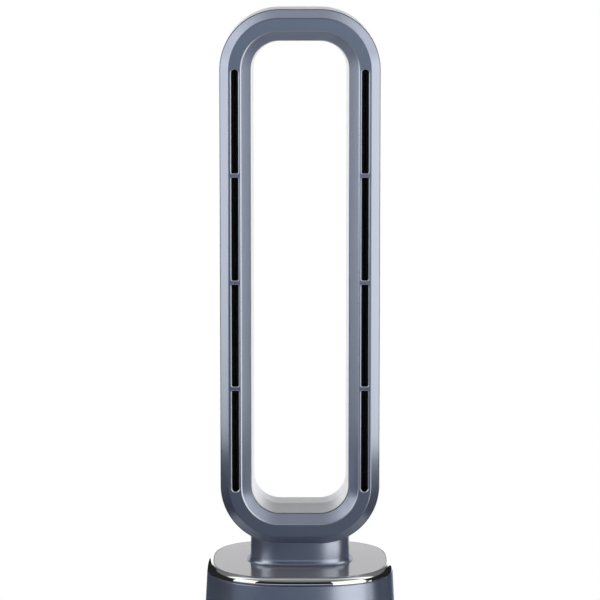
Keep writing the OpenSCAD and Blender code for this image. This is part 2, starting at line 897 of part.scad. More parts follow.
// Prisms of one side's slots, grown by margin, from h0 to h1
module slot_prisms(side, w, trim, h0, h1) {
    for (i = [0:slot_count - 1])
        translate([side * slot_x, slot_mid + (i - (slot_count - 1) / 2) * slot_pitch, h0])
            slot_prism(w, slot_len - trim, h1 - h0, i == 0, i == slot_count - 1);
}

// One slot: its outer end is fully round, and its other corners have a small radius
module slot_prism(w, length, h, round_low, round_high) {
    end_r = w / 2;
    translate([-w / 2, -length / 2 + end_r, 0]) cube([w, length - 2 * end_r, h]);
    for (end = [-1, 1]) {
        fully_round = end < 0 ? round_low : round_high;
        translate([0, end * (length / 2 - end_r), 0]) {
            if (fully_round) cylinder(r = end_r, h = h);
            else rounded_bar(w, 2 * end_r, slot_end_r, h);
        }
    }
}

module front_cover() {
    color(cover_grey) in_loop() difference() {
        union() {
            round_path(span_x, span_y) cover_profile();
            for (p = post_places) translate([p[0], p[1], post_joint_h + gap])
                cylinder(r = post_out_r, h = p[2] - post_joint_h - gap);
        }
        for (p = post_places) translate([p[0], p[1], post_joint_h])
            cylinder(r = screw_pilot_r, h = 14);
        for (side = [-1, 1]) {
            slot_prisms(side, slot_w, 0, front_h - cover_wall - 1, front_h + 1);
            slot_prisms(side, slot_w + 2 * slot_step, -2 * slot_step,
                        front_h - slot_step_d, front_h + 1);
        }
    }
}

// The two lips behind one side's slots, which leave a narrow slit between them
module air_guide(side) {
    lip_w = (guide_w - nozzle_w) / 2;
    color(black) in_loop() for (edge = [-1, 1])
        translate([side * slot_x + edge * (nozzle_w + lip_w) / 2 - lip_w / 2,
                   slot_mid - guide_len / 2, guide_front_h - guide_d])
            cube([lip_w, guide_len, nozzle_d]);
}

module left_air_guide() air_guide(-1);
module right_air_guide() air_guide(1);

// One of the two rails that wall in the space between the lips and the slots
module guide_rail(side, edge) {
    rail_w = (guide_w - guide_space) / 2;
    rail_x = side * slot_x + edge * (guide_space + rail_w) / 2;
    color(black) in_loop()
        translate([rail_x - rail_w / 2, slot_mid - guide_len / 2,
                   guide_front_h - guide_d + nozzle_d])
            cube([rail_w, guide_len, guide_d - nozzle_d]);
}

module left_outer_rail() guide_rail(-1, -1);
module left_inner_rail() guide_rail(-1, 1);
module right_inner_rail() guide_rail(1, -1);
module right_outer_rail() guide_rail(1, 1);

module flow_divider() {
    top = span_y / 2 + hole_r + loop_wall + gap;
    color(black) in_loop() translate([0, -top, -40]) linear_extrude(78) polygon(concat(
        arc(-16, -22, 22, 90, 0, 6) + [for (i = [0:6]) [-6, 0]],
        arc(16, -22, 22, 180, 90, 6) + [for (i = [0:6]) [6, 0]]
    ));
}

module loop_screws() {
    color(steel) in_loop() for (p = post_places) translate([p[0], p[1], 0]) {
        translate([0, 0, post_joint_h - 6]) cylinder(r = screw_r, h = 18);
        translate([0, 0, post_joint_h - 6.5]) cylinder(r = screw_head_r, h = 2.4);
    }
}

foot_plate();
rubber_feet();
ballast_plate();
swivel_post();
post_screws();
slide_ring();
fixed_gear();
retaining_plate();
retainer_screws();
cord_grommet();
body_floor();
body_shell();
floor_screws();
intake_grille();
intake_filter();
deck();
deck_screws();
top_plate();
chrome_ring();
neck();
neck_duct();
loop_gasket();
control_panel();
display_lens();
control_board();
power_board();
swivel_motor();
swivel_pinion();
blower_housing();
inlet_bell();
blower_isolators();
blower_screws();
motor_bucket();
motor_cap();
motor_endcap();
motor_stator();
stator_windings();
lower_bearing();
upper_bearing();
rotor_shaft();
rotor_magnet();
impeller();
impeller_nut();
rear_shell();
front_cover();
left_air_guide();
right_air_guide();
left_outer_rail();
left_inner_rail();
right_inner_rail();
right_outer_rail();
flow_divider();
loop_screws();
power_button();
speed_down_button();
speed_up_button();
timer_button();
swivel_button();
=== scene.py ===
# %% [markdown]
# # A bladeless tower fan, dressed in Blender
#
# The fan is a tall hollow loop on a tapered base. Its solids come from the CAD model, which this
# script loads as a fixed frame: every solid is already in its place, in metres, with Z up and the
# front facing -Y. The script gives each solid its finish, and where a surface needs a softer edge
# or finer detail than the CAD has, a new mesh takes the solid's place.

# %% Load the frame
import math
from functools import partial
import bmesh
import bpy
from mathutils import Matrix, Vector


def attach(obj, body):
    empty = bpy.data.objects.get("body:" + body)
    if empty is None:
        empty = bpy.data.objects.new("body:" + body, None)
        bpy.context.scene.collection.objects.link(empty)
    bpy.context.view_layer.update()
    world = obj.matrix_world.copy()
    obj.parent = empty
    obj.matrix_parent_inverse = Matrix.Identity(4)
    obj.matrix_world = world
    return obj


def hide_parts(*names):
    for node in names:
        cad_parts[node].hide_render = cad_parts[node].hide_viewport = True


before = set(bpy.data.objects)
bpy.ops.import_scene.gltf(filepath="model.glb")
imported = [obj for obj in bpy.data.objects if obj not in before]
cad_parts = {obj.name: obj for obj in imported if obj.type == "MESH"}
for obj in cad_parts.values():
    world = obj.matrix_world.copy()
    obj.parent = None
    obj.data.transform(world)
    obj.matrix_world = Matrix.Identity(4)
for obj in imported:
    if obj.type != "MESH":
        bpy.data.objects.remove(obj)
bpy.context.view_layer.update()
MM = 0.001

# %% [markdown]
# ## The camera
#
# The picture was taken from in front, a little above the top of the fan, through a long lens that
# keeps the loop's sides parallel. A long lens far away gives the same look here. The camera comes
# first, because every later choice of tone is judged through it.

# %% Place the camera
FOCAL, SENSOR = 180, 36
CAMERA_PLACE = (0, -3.8, 1.15)
LOOK_DOWN = 7.69

camera_data = bpy.data.cameras.new("front_camera")
camera_data.lens = FOCAL
camera_data.sensor_width = SENSOR
camera = bpy.data.objects.new("front_camera", camera_data)
camera.location = CAMERA_PLACE
camera.rotation_euler = (math.radians(90 - LOOK_DOWN), 0, 0)
bpy.context.collection.objects.link(camera)
bpy.context.scene.camera = camera
bpy.context.scene.view_settings.view_transform = "Standard"
print("camera", tuple(camera.location))

# %% [markdown]
# ## First tools
#
# Nodes, plain meshes and points on a circle come up in nearly every step, so each has a function.


# %% Nodes, meshes and circles
def add(tree, kind, wires, **settings):
    """A node with its settings. Wires give its inputs: a socket, a node's outputs or a value."""
    made = tree.nodes.new(kind)
    for key, value in settings.items():
        setattr(made, key, value)
    for key, value in wires.items():
        if isinstance(value, bpy.types.bpy_prop_collection):
            value = value[0]
        if isinstance(value, bpy.types.NodeSocket):
            tree.links.new(value, made.inputs[key])
        else:
            made.inputs[key].default_value = value
    return made.outputs


def new_material(name):
    """A material with an empty node tree."""
    material = bpy.data.materials.new(name)
    material.use_nodes = True
    material.node_tree.nodes.clear()
    return material, material.node_tree


def new_piece(name, points, faces=(), edges=(), unit=MM):
    """A mesh object at the origin, with its points given in millimetres."""
    mesh = bpy.data.meshes.new(name)
    mesh.from_pydata([tuple(c * unit for c in p) for p in points], edges, faces)
    piece = bpy.data.objects.new(name, mesh)
    bpy.context.collection.objects.link(piece)
    return piece


def on_circle(radius, angle, x=0.0, y=0.0):
    """The point at an angle in degrees on a circle round (x, y)."""
    turn = math.radians(angle)
    return (x + radius * math.cos(turn), y + radius * math.sin(turn))


print("first tools ready")

# %% [markdown]
# ## The studio
#
# Metallic lacquer shows what stands round it, so the room matters as much as the lamps. This room
# is dark in front, with a thin bluish horizon. A bright arch stands over the fan's sides, and a
# white sweep behind it. Each of the three is a list of tones by height, and they blend from front
# to back. Rays that come straight from the camera see plain white instead, which gives the clean
# background without adding any light.


# %% Build the world
def grey(level, blue=1.0):
    """A tone of a given level. A blue above 1 cools it."""
    return (level / blue ** 0.5, level, level * blue ** 0.5)


HORIZON = grey(0.77, 1.45)
FRONT_TONES = [(-1, grey(0.12)), (-0.3, grey(0.01)), (-0.09, grey(0.01)), (-0.015, HORIZON),
               (0.06, HORIZON), (0.11, grey(0.01)), (0.6, grey(0.03)), (0.85, grey(0.3)),
               (1, grey(0.2))]
ARCH_TONES = [(-1, grey(0.12)), (-0.7, grey(0.45)), (0.05, grey(0.45)), (0.16, grey(1.2)),
              (0.6, grey(1.75)), (0.85, grey(1.35)), (1, grey(0.62))]
SWEEP_TONES = [(-1, grey(0.25)), (-0.6, grey(0.45)), (-0.2, grey(1.27)), (0.225, grey(1.27)),
               (0.275, grey(0.14)), (0.75, grey(0.25)), (1, grey(0.60))]
ARCH_BLEND, SWEEP_BLEND = (-0.3, -0.05), (0.08, 0.28)


def level_steps(tree, value, steps):
    """A colour ramp over a value from -1 to 1, from (value, colour) pairs."""
    spread = add(tree, "ShaderNodeMapRange", {"Value": value, "From Min": -1})
    colour = add(tree, "ShaderNodeValToRGB", {"Fac": spread["Result"]})["Color"]
    stops = colour.node.color_ramp.elements
    stops[0].position, stops[1].position = 0, 1
    stops[0].color, stops[1].color = [(*steps[k][1], 1) for k in (0, -1)]
    for place, tone in steps[1:-1]:
        stops.new((place + 1) / 2).color = (*tone, 1)
    return colour


def room_world():
    """A world that is plain white for the camera and a room for everything else."""
    world = bpy.data.worlds.new("studio_room")
    bpy.context.scene.world = world
    world.use_nodes = True
    tree = world.node_tree
    tree.nodes.clear()
    where = add(tree, "ShaderNodeTexCoord", {})
    way = add(tree, "ShaderNodeSeparateXYZ", {0: where["Generated"]})
    tone = level_steps(tree, way["Z"], FRONT_TONES)
    for tones, (start, end) in ((ARCH_TONES, ARCH_BLEND), (SWEEP_TONES, SWEEP_BLEND)):
        reach = add(
            tree, "ShaderNodeMapRange", {"Value": way["Y"], "From Min": start, "From Max": end},
            interpolation_type="SMOOTHSTEP")
        wall = level_steps(tree, way["Z"], tones)
        tone = add(tree, "ShaderNodeMix", {"Factor": reach["Result"], "A": tone, "B": wall},
                   data_type="RGBA")["Result"]
    room = add(tree, "ShaderNodeBackground", {"Color": tone})
    plain = add(tree, "ShaderNodeBackground", {"Color": (1, 1, 1, 1)})
    path = add(tree, "ShaderNodeLightPath", {})
    direct = add(
        tree, "ShaderNodeMath", {0: path["Is Camera Ray"], 1: path["Is Transmission Ray"]},
        operation="MAXIMUM")
    pick = add(tree, "ShaderNodeMixShader", {"Fac": direct, 1: room, 2: plain})
    add(tree, "ShaderNodeOutputWorld", {"Surface": pick})
    print("world with", len(tree.nodes), "nodes")


room_world()

# %% [markdown]
# Two tall softboxes stand in front, to the left and right, and two softer walls of light at the
# sides. The boxes give the plain light in which a colour renders about as it is written, and the
# bright streaks on the base. The left one hangs higher, so the base's left side stays calm. The
# walls light the flanks of the loop. All are a little warm. The level is a radiance, so a lamp's
# power is that level times pi times its area.

# %% Hang the softboxes
LAMP_COLOUR = (1.0, 0.97, 0.915)
LAMP_DISTANCE = 2.2


def softbox(name, azimuth, low, high, width, level):
    """A rectangular lamp, azimuth degrees from the front, that faces the fan's axis."""
    lamp = bpy.data.lights.new(name, "AREA")
    lamp.shape = "RECTANGLE"
    lamp.size = width
    lamp.size_y = high - low
    lamp.energy = level * math.pi * width * (high - low)
    lamp.color = LAMP_COLOUR
    box = bpy.data.objects.new(name, lamp)
    box.location = (*on_circle(LAMP_DISTANCE, azimuth - 90), (low + high) / 2)
    box.rotation_euler = (math.radians(90), 0, math.radians(azimuth))
    box.visible_camera = False
    bpy.context.collection.objects.link(box)


softbox("right_box", 45, -0.5, 2.2, 2.1, 1.45)
softbox("left_box", -54, 0.55, 2.5, 1.6, 1.6)
softbox("right_wall", 93, -0.2, 1.25, 1.3, 1.1)
softbox("left_wall", -93, 0.12, 1.25, 1.3, 0.93)

# %% [markdown]
# Black cards stand close beside the top of the base, the oldest trick for chrome: without them its
# edges would melt into the white room. The right one has a short extra flap at its front end.
# Only reflections see the cards. They throw no shadow and the camera looks through them.

# %% Stand the cards
CARD_COLOUR, CARD_ROUGH = (0.02, 0.02, 0.022, 1), 0.9
CARD_DISTANCE, CARD_STEPS = 0.30, 24


def black_card(name, start, end, low, high):
    """An upright curved card from one azimuth to another, seen by reflections alone."""
    turns = [start + (end - start) * i / CARD_STEPS for i in range(CARD_STEPS + 1)]
    points = [(*on_circle(CARD_DISTANCE, turn - 90), z) for turn in turns for z in (low, high)]
    faces = [(2 * i, 2 * i + 1, 2 * i + 3, 2 * i + 2) for i in range(CARD_STEPS)]
    card = new_piece(name, points, faces, unit=1)
    paper, tree = new_material(name)
    matt = add(
        tree, "ShaderNodeBsdfPrincipled", {"Base Color": CARD_COLOUR, "Roughness": CARD_ROUGH})
    add(tree, "ShaderNodeOutputMaterial", {"Surface": matt})
    card.data.materials.append(paper)
    card.visible_camera = card.visible_shadow = card.visible_diffuse = False


black_card("left_card", -146, -60, 0.175, 0.43)
black_card("right_card", 69, 138, 0.175, 0.41)
black_card("right_blind", 61, 69, 0.287, 0.41)
print("cards at", CARD_DISTANCE, "m from the axis")

# %% [markdown]
# ## The floor
#
# The fan stands on a pale round sheet that fades out, so the background stays white all round. It
# is matt and catches the fan's shadow. A faint glow, for the camera only, keeps that shadow light.

# %% Lay the floor
FLOOR_RINGS, FLOOR_STEPS = [0.001, 0.2, 0.4, 0.7], 96
FLOOR_TONE, FLOOR_GLOW = grey(0.55), grey(0.42)
FADE_START, FADE_END = 0.3, 0.66


def lay_floor():
    """A round sheet that turns clear between two distances from the axis."""
    points = [(*on_circle(radius, 360 * i / FLOOR_STEPS), 0)
              for radius in FLOOR_RINGS for i in range(FLOOR_STEPS)]
    faces = [tuple(range(FLOOR_STEPS))]
    for k in range(len(FLOOR_RINGS) - 1):
        near, far = k * FLOOR_STEPS, (k + 1) * FLOOR_STEPS
        for i in range(FLOOR_STEPS):
            j = (i + 1) % FLOOR_STEPS
            faces.append((near + i, far + i, far + j, near + j))
    floor = new_piece("floor", points, faces, unit=1)
    paper, tree = new_material("floor_paper")
    matt = add(tree, "ShaderNodeBsdfDiffuse", {"Color": (*FLOOR_TONE, 1)})
    path = add(tree, "ShaderNodeLightPath", {})
    glow = add(
        tree, "ShaderNodeEmission", {"Color": (*FLOOR_GLOW, 1), "Strength": path["Is Camera Ray"]})
    both = add(tree, "ShaderNodeAddShader", {0: matt, 1: glow})
    clear = add(tree, "ShaderNodeBsdfTransparent", {})
    where = add(tree, "ShaderNodeTexCoord", {})
    reach = add(tree, "ShaderNodeVectorMath", {0: where["Object"]}, operation="LENGTH")
    fade = add(
        tree, "ShaderNodeMapRange",
        {"Value": reach["Value"], "From Min": FADE_START, "From Max": FADE_END},
        interpolation_type="SMOOTHSTEP")
    edge = add(tree, "ShaderNodeMixShader", {"Fac": fade["Result"], 1: both, 2: clear})
    add(tree, "ShaderNodeOutputMaterial", {"Surface": edge})
    floor.data.materials.append(paper)
    print("floor faces", len(faces))


lay_floor()

# %% [markdown]
# ## Shape tools
#
# Nearly every part of the fan is a section carried round a closed path. The section's corners are
# never quite sharp, because moulds and polishing round them, and it is this small radius that
# catches the light. So the first tool turns a list of corners, each with its radius, into a smooth
# section.


# %% Rounded sections
def rounded(corners, steps=4):
    """A closed outline from corners (x, y, radius), with each corner turned into an arc."""
    outline = []
    for i, (x, y, radius) in enumerate(corners):
        here = Vector((x, y))
        if not radius:
            outline.append((x, y))
            continue
        back = (Vector(corners[i - 1][:2]) - here).normalized()
        ahead = (Vector(corners[(i + 1) % len(corners)][:2]) - here).normalized()
        half = back.angle(ahead) / 2
        reach = radius / math.tan(half)
        centre = here + (back + ahead).normalized() * (radius / math.sin(half))
        start = here + back * reach - centre
        end = here + ahead * reach - centre
        sweep = start.angle_signed(end)
        for k in range(steps + 1):
            turned = start.copy()
            turned.rotate(Matrix.Rotation(-sweep * k / steps, 2))
            outline.append(tuple(centre + turned))
    return outline


def disc_outline(radius, steps, x, y):
    """A circle round (x, y)."""
    return [on_circle(radius, 360 * i / steps, x, y) for i in range(steps)]


def bar_outline(width, depth, radius, x=0.0, y=0.0):
    """A rectangle with rounded corners."""
    w, d = width / 2, depth / 2
    return rounded([(x + w, y - d, radius), (x + w, y + d, radius), (x - w, y + d, radius),
                    (x - w, y - d, radius)], 8)


def block(x, y, w, h):
    """A rectangle with sharp corners."""
    return [(x - w / 2, y - h / 2), (x + w / 2, y - h / 2), (x + w / 2, y + h / 2),
            (x - w / 2, y + h / 2)]


print("section tools ready")

# %% [markdown]
# The next tools join equal sections into a skin. Every new mesh is settled: doubled points merge,
# all faces turn outwards, and edges above a certain angle stay crisp.

# %% Skins
SHARP_ANGLE = math.radians(35)
MERGE = 0.002 * MM


def settle(piece):
    """Merges doubled points, turns faces outwards and marks the edges that stay crisp."""
    build = bmesh.new()
    build.from_mesh(piece.data)
    bmesh.ops.remove_doubles(build, verts=build.verts, dist=MERGE)
    bmesh.ops.dissolve_degenerate(build, edges=build.edges, dist=MERGE)
    bmesh.ops.delete(build, geom=[e for e in build.edges if not e.link_faces], context="EDGES")
    bmesh.ops.recalc_face_normals(build, faces=build.faces)
    build.to_mesh(piece.data)
    build.free()
    piece.data.shade_smooth()
    piece.data.set_sharp_from_angle(angle=SHARP_ANGLE)


def skin(name, rings, path_closed=True):
    """Joins rings of equal length into a closed skin. An open row of rings gets two end caps."""
    size = len(rings[0])
    points = [p for ring in rings for p in ring]
    faces = []
    for k in range(len(rings) if path_closed else len(rings) - 1):
        a, b = k * size, (k + 1) % len(rings) * size
        for i in range(size):
            j = (i + 1) % size
            faces.append((a + i, a + j, b + j, b + i))
    if not path_closed:
        faces += [tuple(range(size)), tuple(range(len(points) - size, len(points)))]
    piece = new_piece(name, points, faces)
    settle(piece)
    return piece


def prism(name, outline, low, high):
    """A straight prism between two heights, from an outline in X and Y."""
    return skin(name, [[(x, y, z) for x, y in outline] for z in (low, high)], path_closed=False)


def lathe(name, profile, steps):
    """Turns a closed profile of (radius, height) round the Z axis."""
    return skin(name, [[(*on_circle(r, 360 * k / steps), z) for r, z in profile]
                       for k in range(steps)])


print("skins ready")

# %% [markdown]
# Holes and bosses are cut or added with exact booleans. What a modifier makes is kept as a plain
# mesh, because a finished piece must carry its own faces. The last tool dresses a piece: it gives
# its finish, and says which body carries it and which CAD solids it stands for.


# %% Cut, join and dress
def keep_mesh(piece, step):
    """Turns what a modifier makes into the piece's own mesh."""
    old = piece.data
    made = bpy.data.meshes.new_from_object(
        piece.evaluated_get(bpy.context.evaluated_depsgraph_get()))
    piece.modifiers.remove(step)
    piece.data = made
    made.name = piece.name
    bpy.data.meshes.remove(old)
    settle(piece)


def cut(piece, tool, how="DIFFERENCE"):
    """Cuts, adds or keeps what a tool covers, then throws the tool away."""
    step = piece.modifiers.new("cut", "BOOLEAN")
    step.solver = "EXACT"
    step.operation = how
    step.object = tool
    keep_mesh(piece, step)
    bpy.data.objects.remove(tool)


def join(pieces):
    """One object from several, in a single mesh."""
    build = bmesh.new()
    for piece in pieces:
        build.from_mesh(piece.data)
        if piece is not pieces[0]:
            bpy.data.objects.remove(piece)
    build.to_mesh(pieces[0].data)
    build.free()
    return pieces[0]


def weigh(piece):
    """Lets large faces rule the shading, so flats stay flat beside their rounded edges."""
    step = piece.modifiers.new("weigh", "WEIGHTED_NORMAL")
    step.keep_sharp = True
    step.weight = 100


def turn_into_place(piece, matrix):
    """Moves a piece's mesh by a matrix whose shift is in millimetres."""
    place = matrix.copy()
    place.translation = matrix.translation * MM
    piece.data.transform(place)


def wear(piece, body, slot, finish, *nodes):
    """Dresses a new piece: its finish, the body it moves with and the solids it stands for."""
    piece.data.materials.clear()
    piece.data.materials.append(finish)
    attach(piece, body)
    if nodes:
        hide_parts(*nodes)


print("shape tools ready")

# %% [markdown]
# ## Geometry Nodes tools
#
# Screws, feet and slats repeat, and the base's rim follows a path. Geometry Nodes make such parts:
# a tree with named inputs places or sweeps one small shape, and the result is kept as a mesh.


# %% Tree tools
def new_tree(name, inputs):
    """A tree with a mesh going in and out, and named inputs of (name, kind, value)."""
    tree = bpy.data.node_groups.new(name, "GeometryNodeTree")
    tree.interface.new_socket("Geometry", in_out="INPUT", socket_type="NodeSocketGeometry")
    for title, kind, value in inputs:
        made = tree.interface.new_socket(title, in_out="INPUT", socket_type="NodeSocket" + kind)
        if value is not None:
            made.default_value = value
    tree.interface.new_socket("Finish", in_out="INPUT", socket_type="NodeSocketMaterial")
    tree.interface.new_socket("Geometry", in_out="OUTPUT", socket_type="NodeSocketGeometry")
    return tree, tree.nodes.new("NodeGroupInput").outputs


def end_tree(tree, inputs, geometry):
    """Closes a tree: real geometry instead of instances, then its finish."""
    real = add(tree, "GeometryNodeRealizeInstances", {"Geometry": geometry})
    worn = add(tree, "GeometryNodeSetMaterial", {"Geometry": real, "Material": inputs["Finish"]})
    add(tree, "NodeGroupOutput", {0: worn})


def grow_piece(name, tree, points, values, edges=(), facing=None):
    """Runs a tree on points given in millimetres and keeps the plain mesh that it makes."""
    piece = new_piece(name, points, edges=edges)
    if facing:
        held = piece.data.attributes.new("facing", "FLOAT_VECTOR", "POINT")
        held.data.foreach_set("vector", [c for way in facing for c in way])
    step = piece.modifiers.new("grow", "NODES")
    step.node_group = tree
    for item in tree.interface.items_tree:
        if item.in_out == "INPUT" and item.name in values:
            step[item.identifier] = values[item.name]
    keep_mesh(piece, step)
    return piece


print("tree tools ready")

# %% [markdown]
# ## Finishes
#
# Each finish is one recipe with different amounts. A slow noise drifts the colour between two
# near tones, a fine noise varies the roughness and raises a slight grain, and paint may carry
# metal flakes. All noises read Object coordinates, so the grain has one real size on the whole
# fan. A high index of reflection with a tint gives the grey lacquer its bluish metal sheen.

# %% Finish recipe
FLAKES_PER_METRE = 5200
PATCH_DETAIL, GRAIN_DETAIL = 3, 2
GRAIN_LOW, GRAIN_HIGH = 0.3, 0.7
LEAST_ROUGH = 0.01
BUMP_STRENGTH = 0.6


def make_finish(name, colour, rough, metal=0.0, drift=0.05, patch=20, grain=1500, uneven=0.04,
                raise_mm=0.01, coat=0.0, coat_rough=0.05, flake=0.0, stretch=(1, 1, 1), ior=1.5,
                tint=(1, 1, 1)):
    """A material. Patch and grain are noise scales; drift, uneven and flake say how far they go."""
    finish, tree = new_material(name)
    where = add(tree, "ShaderNodeTexCoord", {})["Object"]
    slow = add(
        tree, "ShaderNodeTexNoise", {"Vector": where, "Scale": patch, "Detail": PATCH_DETAIL})
    darker, lighter = ([min(1, c * share) for c in colour] + [1]
                       for share in (1 - drift, 1 + drift))
    paint = add(tree, "ShaderNodeMix", {"Factor": slow["Fac"], "A": darker, "B": lighter},
                data_type="RGBA")["Result"]
    if flake:
        flakes = add(tree, "ShaderNodeTexVoronoi", {"Vector": where, "Scale": FLAKES_PER_METRE})
        glint = add(
            tree, "ShaderNodeMapRange",
            {"Value": flakes["Color"], "To Min": 1 - flake, "To Max": 1 + flake})
        paint = add(tree, "ShaderNodeVectorMath", {0: paint, "Scale": glint["Result"]},
                    operation="SCALE")[0]
    drawn = add(tree, "ShaderNodeMapping", {"Vector": where, "Scale": stretch})
    fine = add(
        tree, "ShaderNodeTexNoise",
        {"Vector": drawn["Vector"], "Scale": grain, "Detail": GRAIN_DETAIL})
    sheen = add(tree, "ShaderNodeMapRange", {
        "Value": fine["Fac"], "From Min": GRAIN_LOW, "From Max": GRAIN_HIGH,
        "To Min": max(LEAST_ROUGH, rough - uneven), "To Max": rough + uneven})
    bump = add(
        tree, "ShaderNodeBump",
        {"Height": fine["Fac"], "Distance": raise_mm * MM, "Strength": BUMP_STRENGTH})
    shader = add(tree, "ShaderNodeBsdfPrincipled", {
        "Base Color": paint, "Roughness": sheen["Result"], "Normal": bump["Normal"],
        "Metallic": metal, "IOR": ior, "Specular Tint": (*tint, 1), "Coat Weight": coat,
        "Coat Roughness": coat_rough})
    add(tree, "ShaderNodeOutputMaterial", {"Surface": shader})
    return finish


print("recipe ready")

# %% [markdown]
# The lacquers and metals come first. A lighter mix of the grey lacquer is a painted highlight for
# the narrow edges where the real paint catches the light. Then come the plastics and rubbers, the
# metals inside, and last the glossy panel with its window and print.

# %% Mix the finishes
# A lighter copy of the grey lacquer, used as a painted highlight on narrow edges.
ridge_lacquer = make_finish(
    "ridge_lacquer", (0.52, 0.56, 0.66), 0.3, metal=0.3, drift=0.05, patch=60, ior=4.0,
    tint=(0.85, 0.9, 1.0))
grey_lacquer = make_finish(
    "grey_lacquer", (0.054, 0.076, 0.165), 0.305, metal=0.2, drift=0.03, patch=9, grain=420,
    uneven=0.02, raise_mm=0.004, flake=0.05, ior=7.2, tint=(0.80, 0.868, 1.0))
silver_lacquer = make_finish(
    "silver_lacquer", (0.79, 0.805, 0.84), 0.38, metal=0.6, drift=0.02, patch=9, grain=420,
    uneven=0.03, raise_mm=0.004, flake=0.04)
polished_metal = make_finish(
    "polished_metal", (0.325, 0.325, 0.342), 0.14, metal=0.6, drift=0.03, patch=14, grain=260,
    uneven=0.025, raise_mm=0.0015, stretch=(1, 6, 6))
ring_chrome = make_finish(
    "ring_chrome", (0.70, 0.705, 0.715), 0.035, metal=1.0, drift=0.01, patch=30, grain=300,
    uneven=0.015, raise_mm=0.001)
black_plastic = make_finish(
    "black_plastic", (0.006, 0.0065, 0.007), 0.42, drift=0.15, patch=40, grain=2600, uneven=0.06,
    raise_mm=0.02)
dark_plastic = make_finish(
    "dark_plastic", (0.03, 0.031, 0.035), 0.5, drift=0.1, patch=30, grain=1800, uneven=0.06,
    raise_mm=0.03)
black_rubber = make_finish(
    "black_rubber", (0.012, 0.012, 0.0125), 0.72, drift=0.25, patch=60, grain=1400, uneven=0.08,
    raise_mm=0.04)
white_nylon = make_finish(
    "white_nylon", (0.72, 0.72, 0.70), 0.42, drift=0.03, patch=25, grain=900, uneven=0.05,
    raise_mm=0.015)
plated_steel = make_finish(
    "plated_steel", (0.46, 0.47, 0.50), 0.28, metal=1.0, drift=0.08, patch=120, grain=2200,
    uneven=0.08, raise_mm=0.006)
cast_iron = make_finish(
    "cast_iron", (0.11, 0.11, 0.115), 0.66, metal=0.7, drift=0.2, patch=90, grain=800, uneven=0.1,
    raise_mm=0.12)
magnet_iron = make_finish(
    "magnet_iron", (0.05, 0.05, 0.055), 0.4, metal=0.6, drift=0.15, patch=80, grain=1600,
    uneven=0.08, raise_mm=0.02)
brass = make_finish(
    "brass", (0.60, 0.40, 0.13), 0.25, metal=1.0, drift=0.08, patch=90, grain=1700, uneven=0.08,
    raise_mm=0.008)
copper_wire = make_finish(
    "copper_wire", (0.42, 0.14, 0.05), 0.33, metal=0.8, drift=0.2, patch=60, grain=1300,
    uneven=0.08, raise_mm=0.15, stretch=(1, 1, 0.05), coat=0.6)
board_green = make_finish(
    "board_green", (0.012, 0.09, 0.03), 0.35, drift=0.3, patch=220, grain=700, uneven=0.08,
    raise_mm=0.03, coat=0.3)
foam = make_finish(
    "foam", (0.012, 0.012, 0.014), 0.9, drift=0.6, patch=900, grain=700, uneven=0.06, raise_mm=0.9)
impeller_plastic = make_finish(
    "impeller_plastic", (0.035, 0.037, 0.042), 0.48, drift=0.15, patch=50, grain=1100, uneven=0.08,
    raise_mm=0.03, stretch=(1, 1, 0.3))
panel_gloss = make_finish(
    "panel_gloss", (0.006, 0.006, 0.007), 0.09, drift=0.2, patch=15, grain=380, uneven=0.02,
    raise_mm=0.002, coat=0.5, coat_rough=0.03)
button_plastic = make_finish(
    "button_plastic", (0.035, 0.037, 0.042), 0.38, drift=0.1, patch=60, grain=2400, uneven=0.06,
    raise_mm=0.015)
smoked_glass = make_finish(
    "smoked_glass", (0.012, 0.014, 0.018), 0.05, drift=0.1, patch=20, grain=200, uneven=0.01,
    raise_mm=0.001, coat=0.6, coat_rough=0.02)
white_print = make_finish(
    "white_print", (0.70, 0.71, 0.72), 0.5, drift=0.05, patch=300, grain=3000, uneven=0.06,
    raise_mm=0.01)
print("materials", len(bpy.data.materials))

# %% [markdown]
# ## The loop's path
#
# The loop is one section carried round a tall rounded rectangle. The section is drawn by its
# distance outside the corner centres and its height towards the front. Only the corners need many
# sections, as the straight sides are straight.

# %% Carry a section round the loop
SPAN_X, SPAN_Z = 51.0, 528.4
LOOP_MID = 669.3
FRONT = 57.5
CORNER_STEPS = 30


def loop_skin(name, section):
    """Carries a closed section of (distance out, height) round the loop."""
    rings = []
    for quarter in range(4):
        cx = SPAN_X / 2 * (1 if quarter in (0, 3) else -1)
        cz = SPAN_Z / 2 * (1 if quarter in (0, 1) else -1) + LOOP_MID
        for i in range(CORNER_STEPS + 1):
            turn = 90 * (quarter + i / CORNER_STEPS)
            places = [(on_circle(r, turn, cx, cz), h) for r, h in section]
            rings.append([(x, -h, z) for (x, z), h in places])
    return skin(name, rings)


print("corner centres from", LOOP_MID - SPAN_Z / 2, "to", LOOP_MID + SPAN_Z / 2)
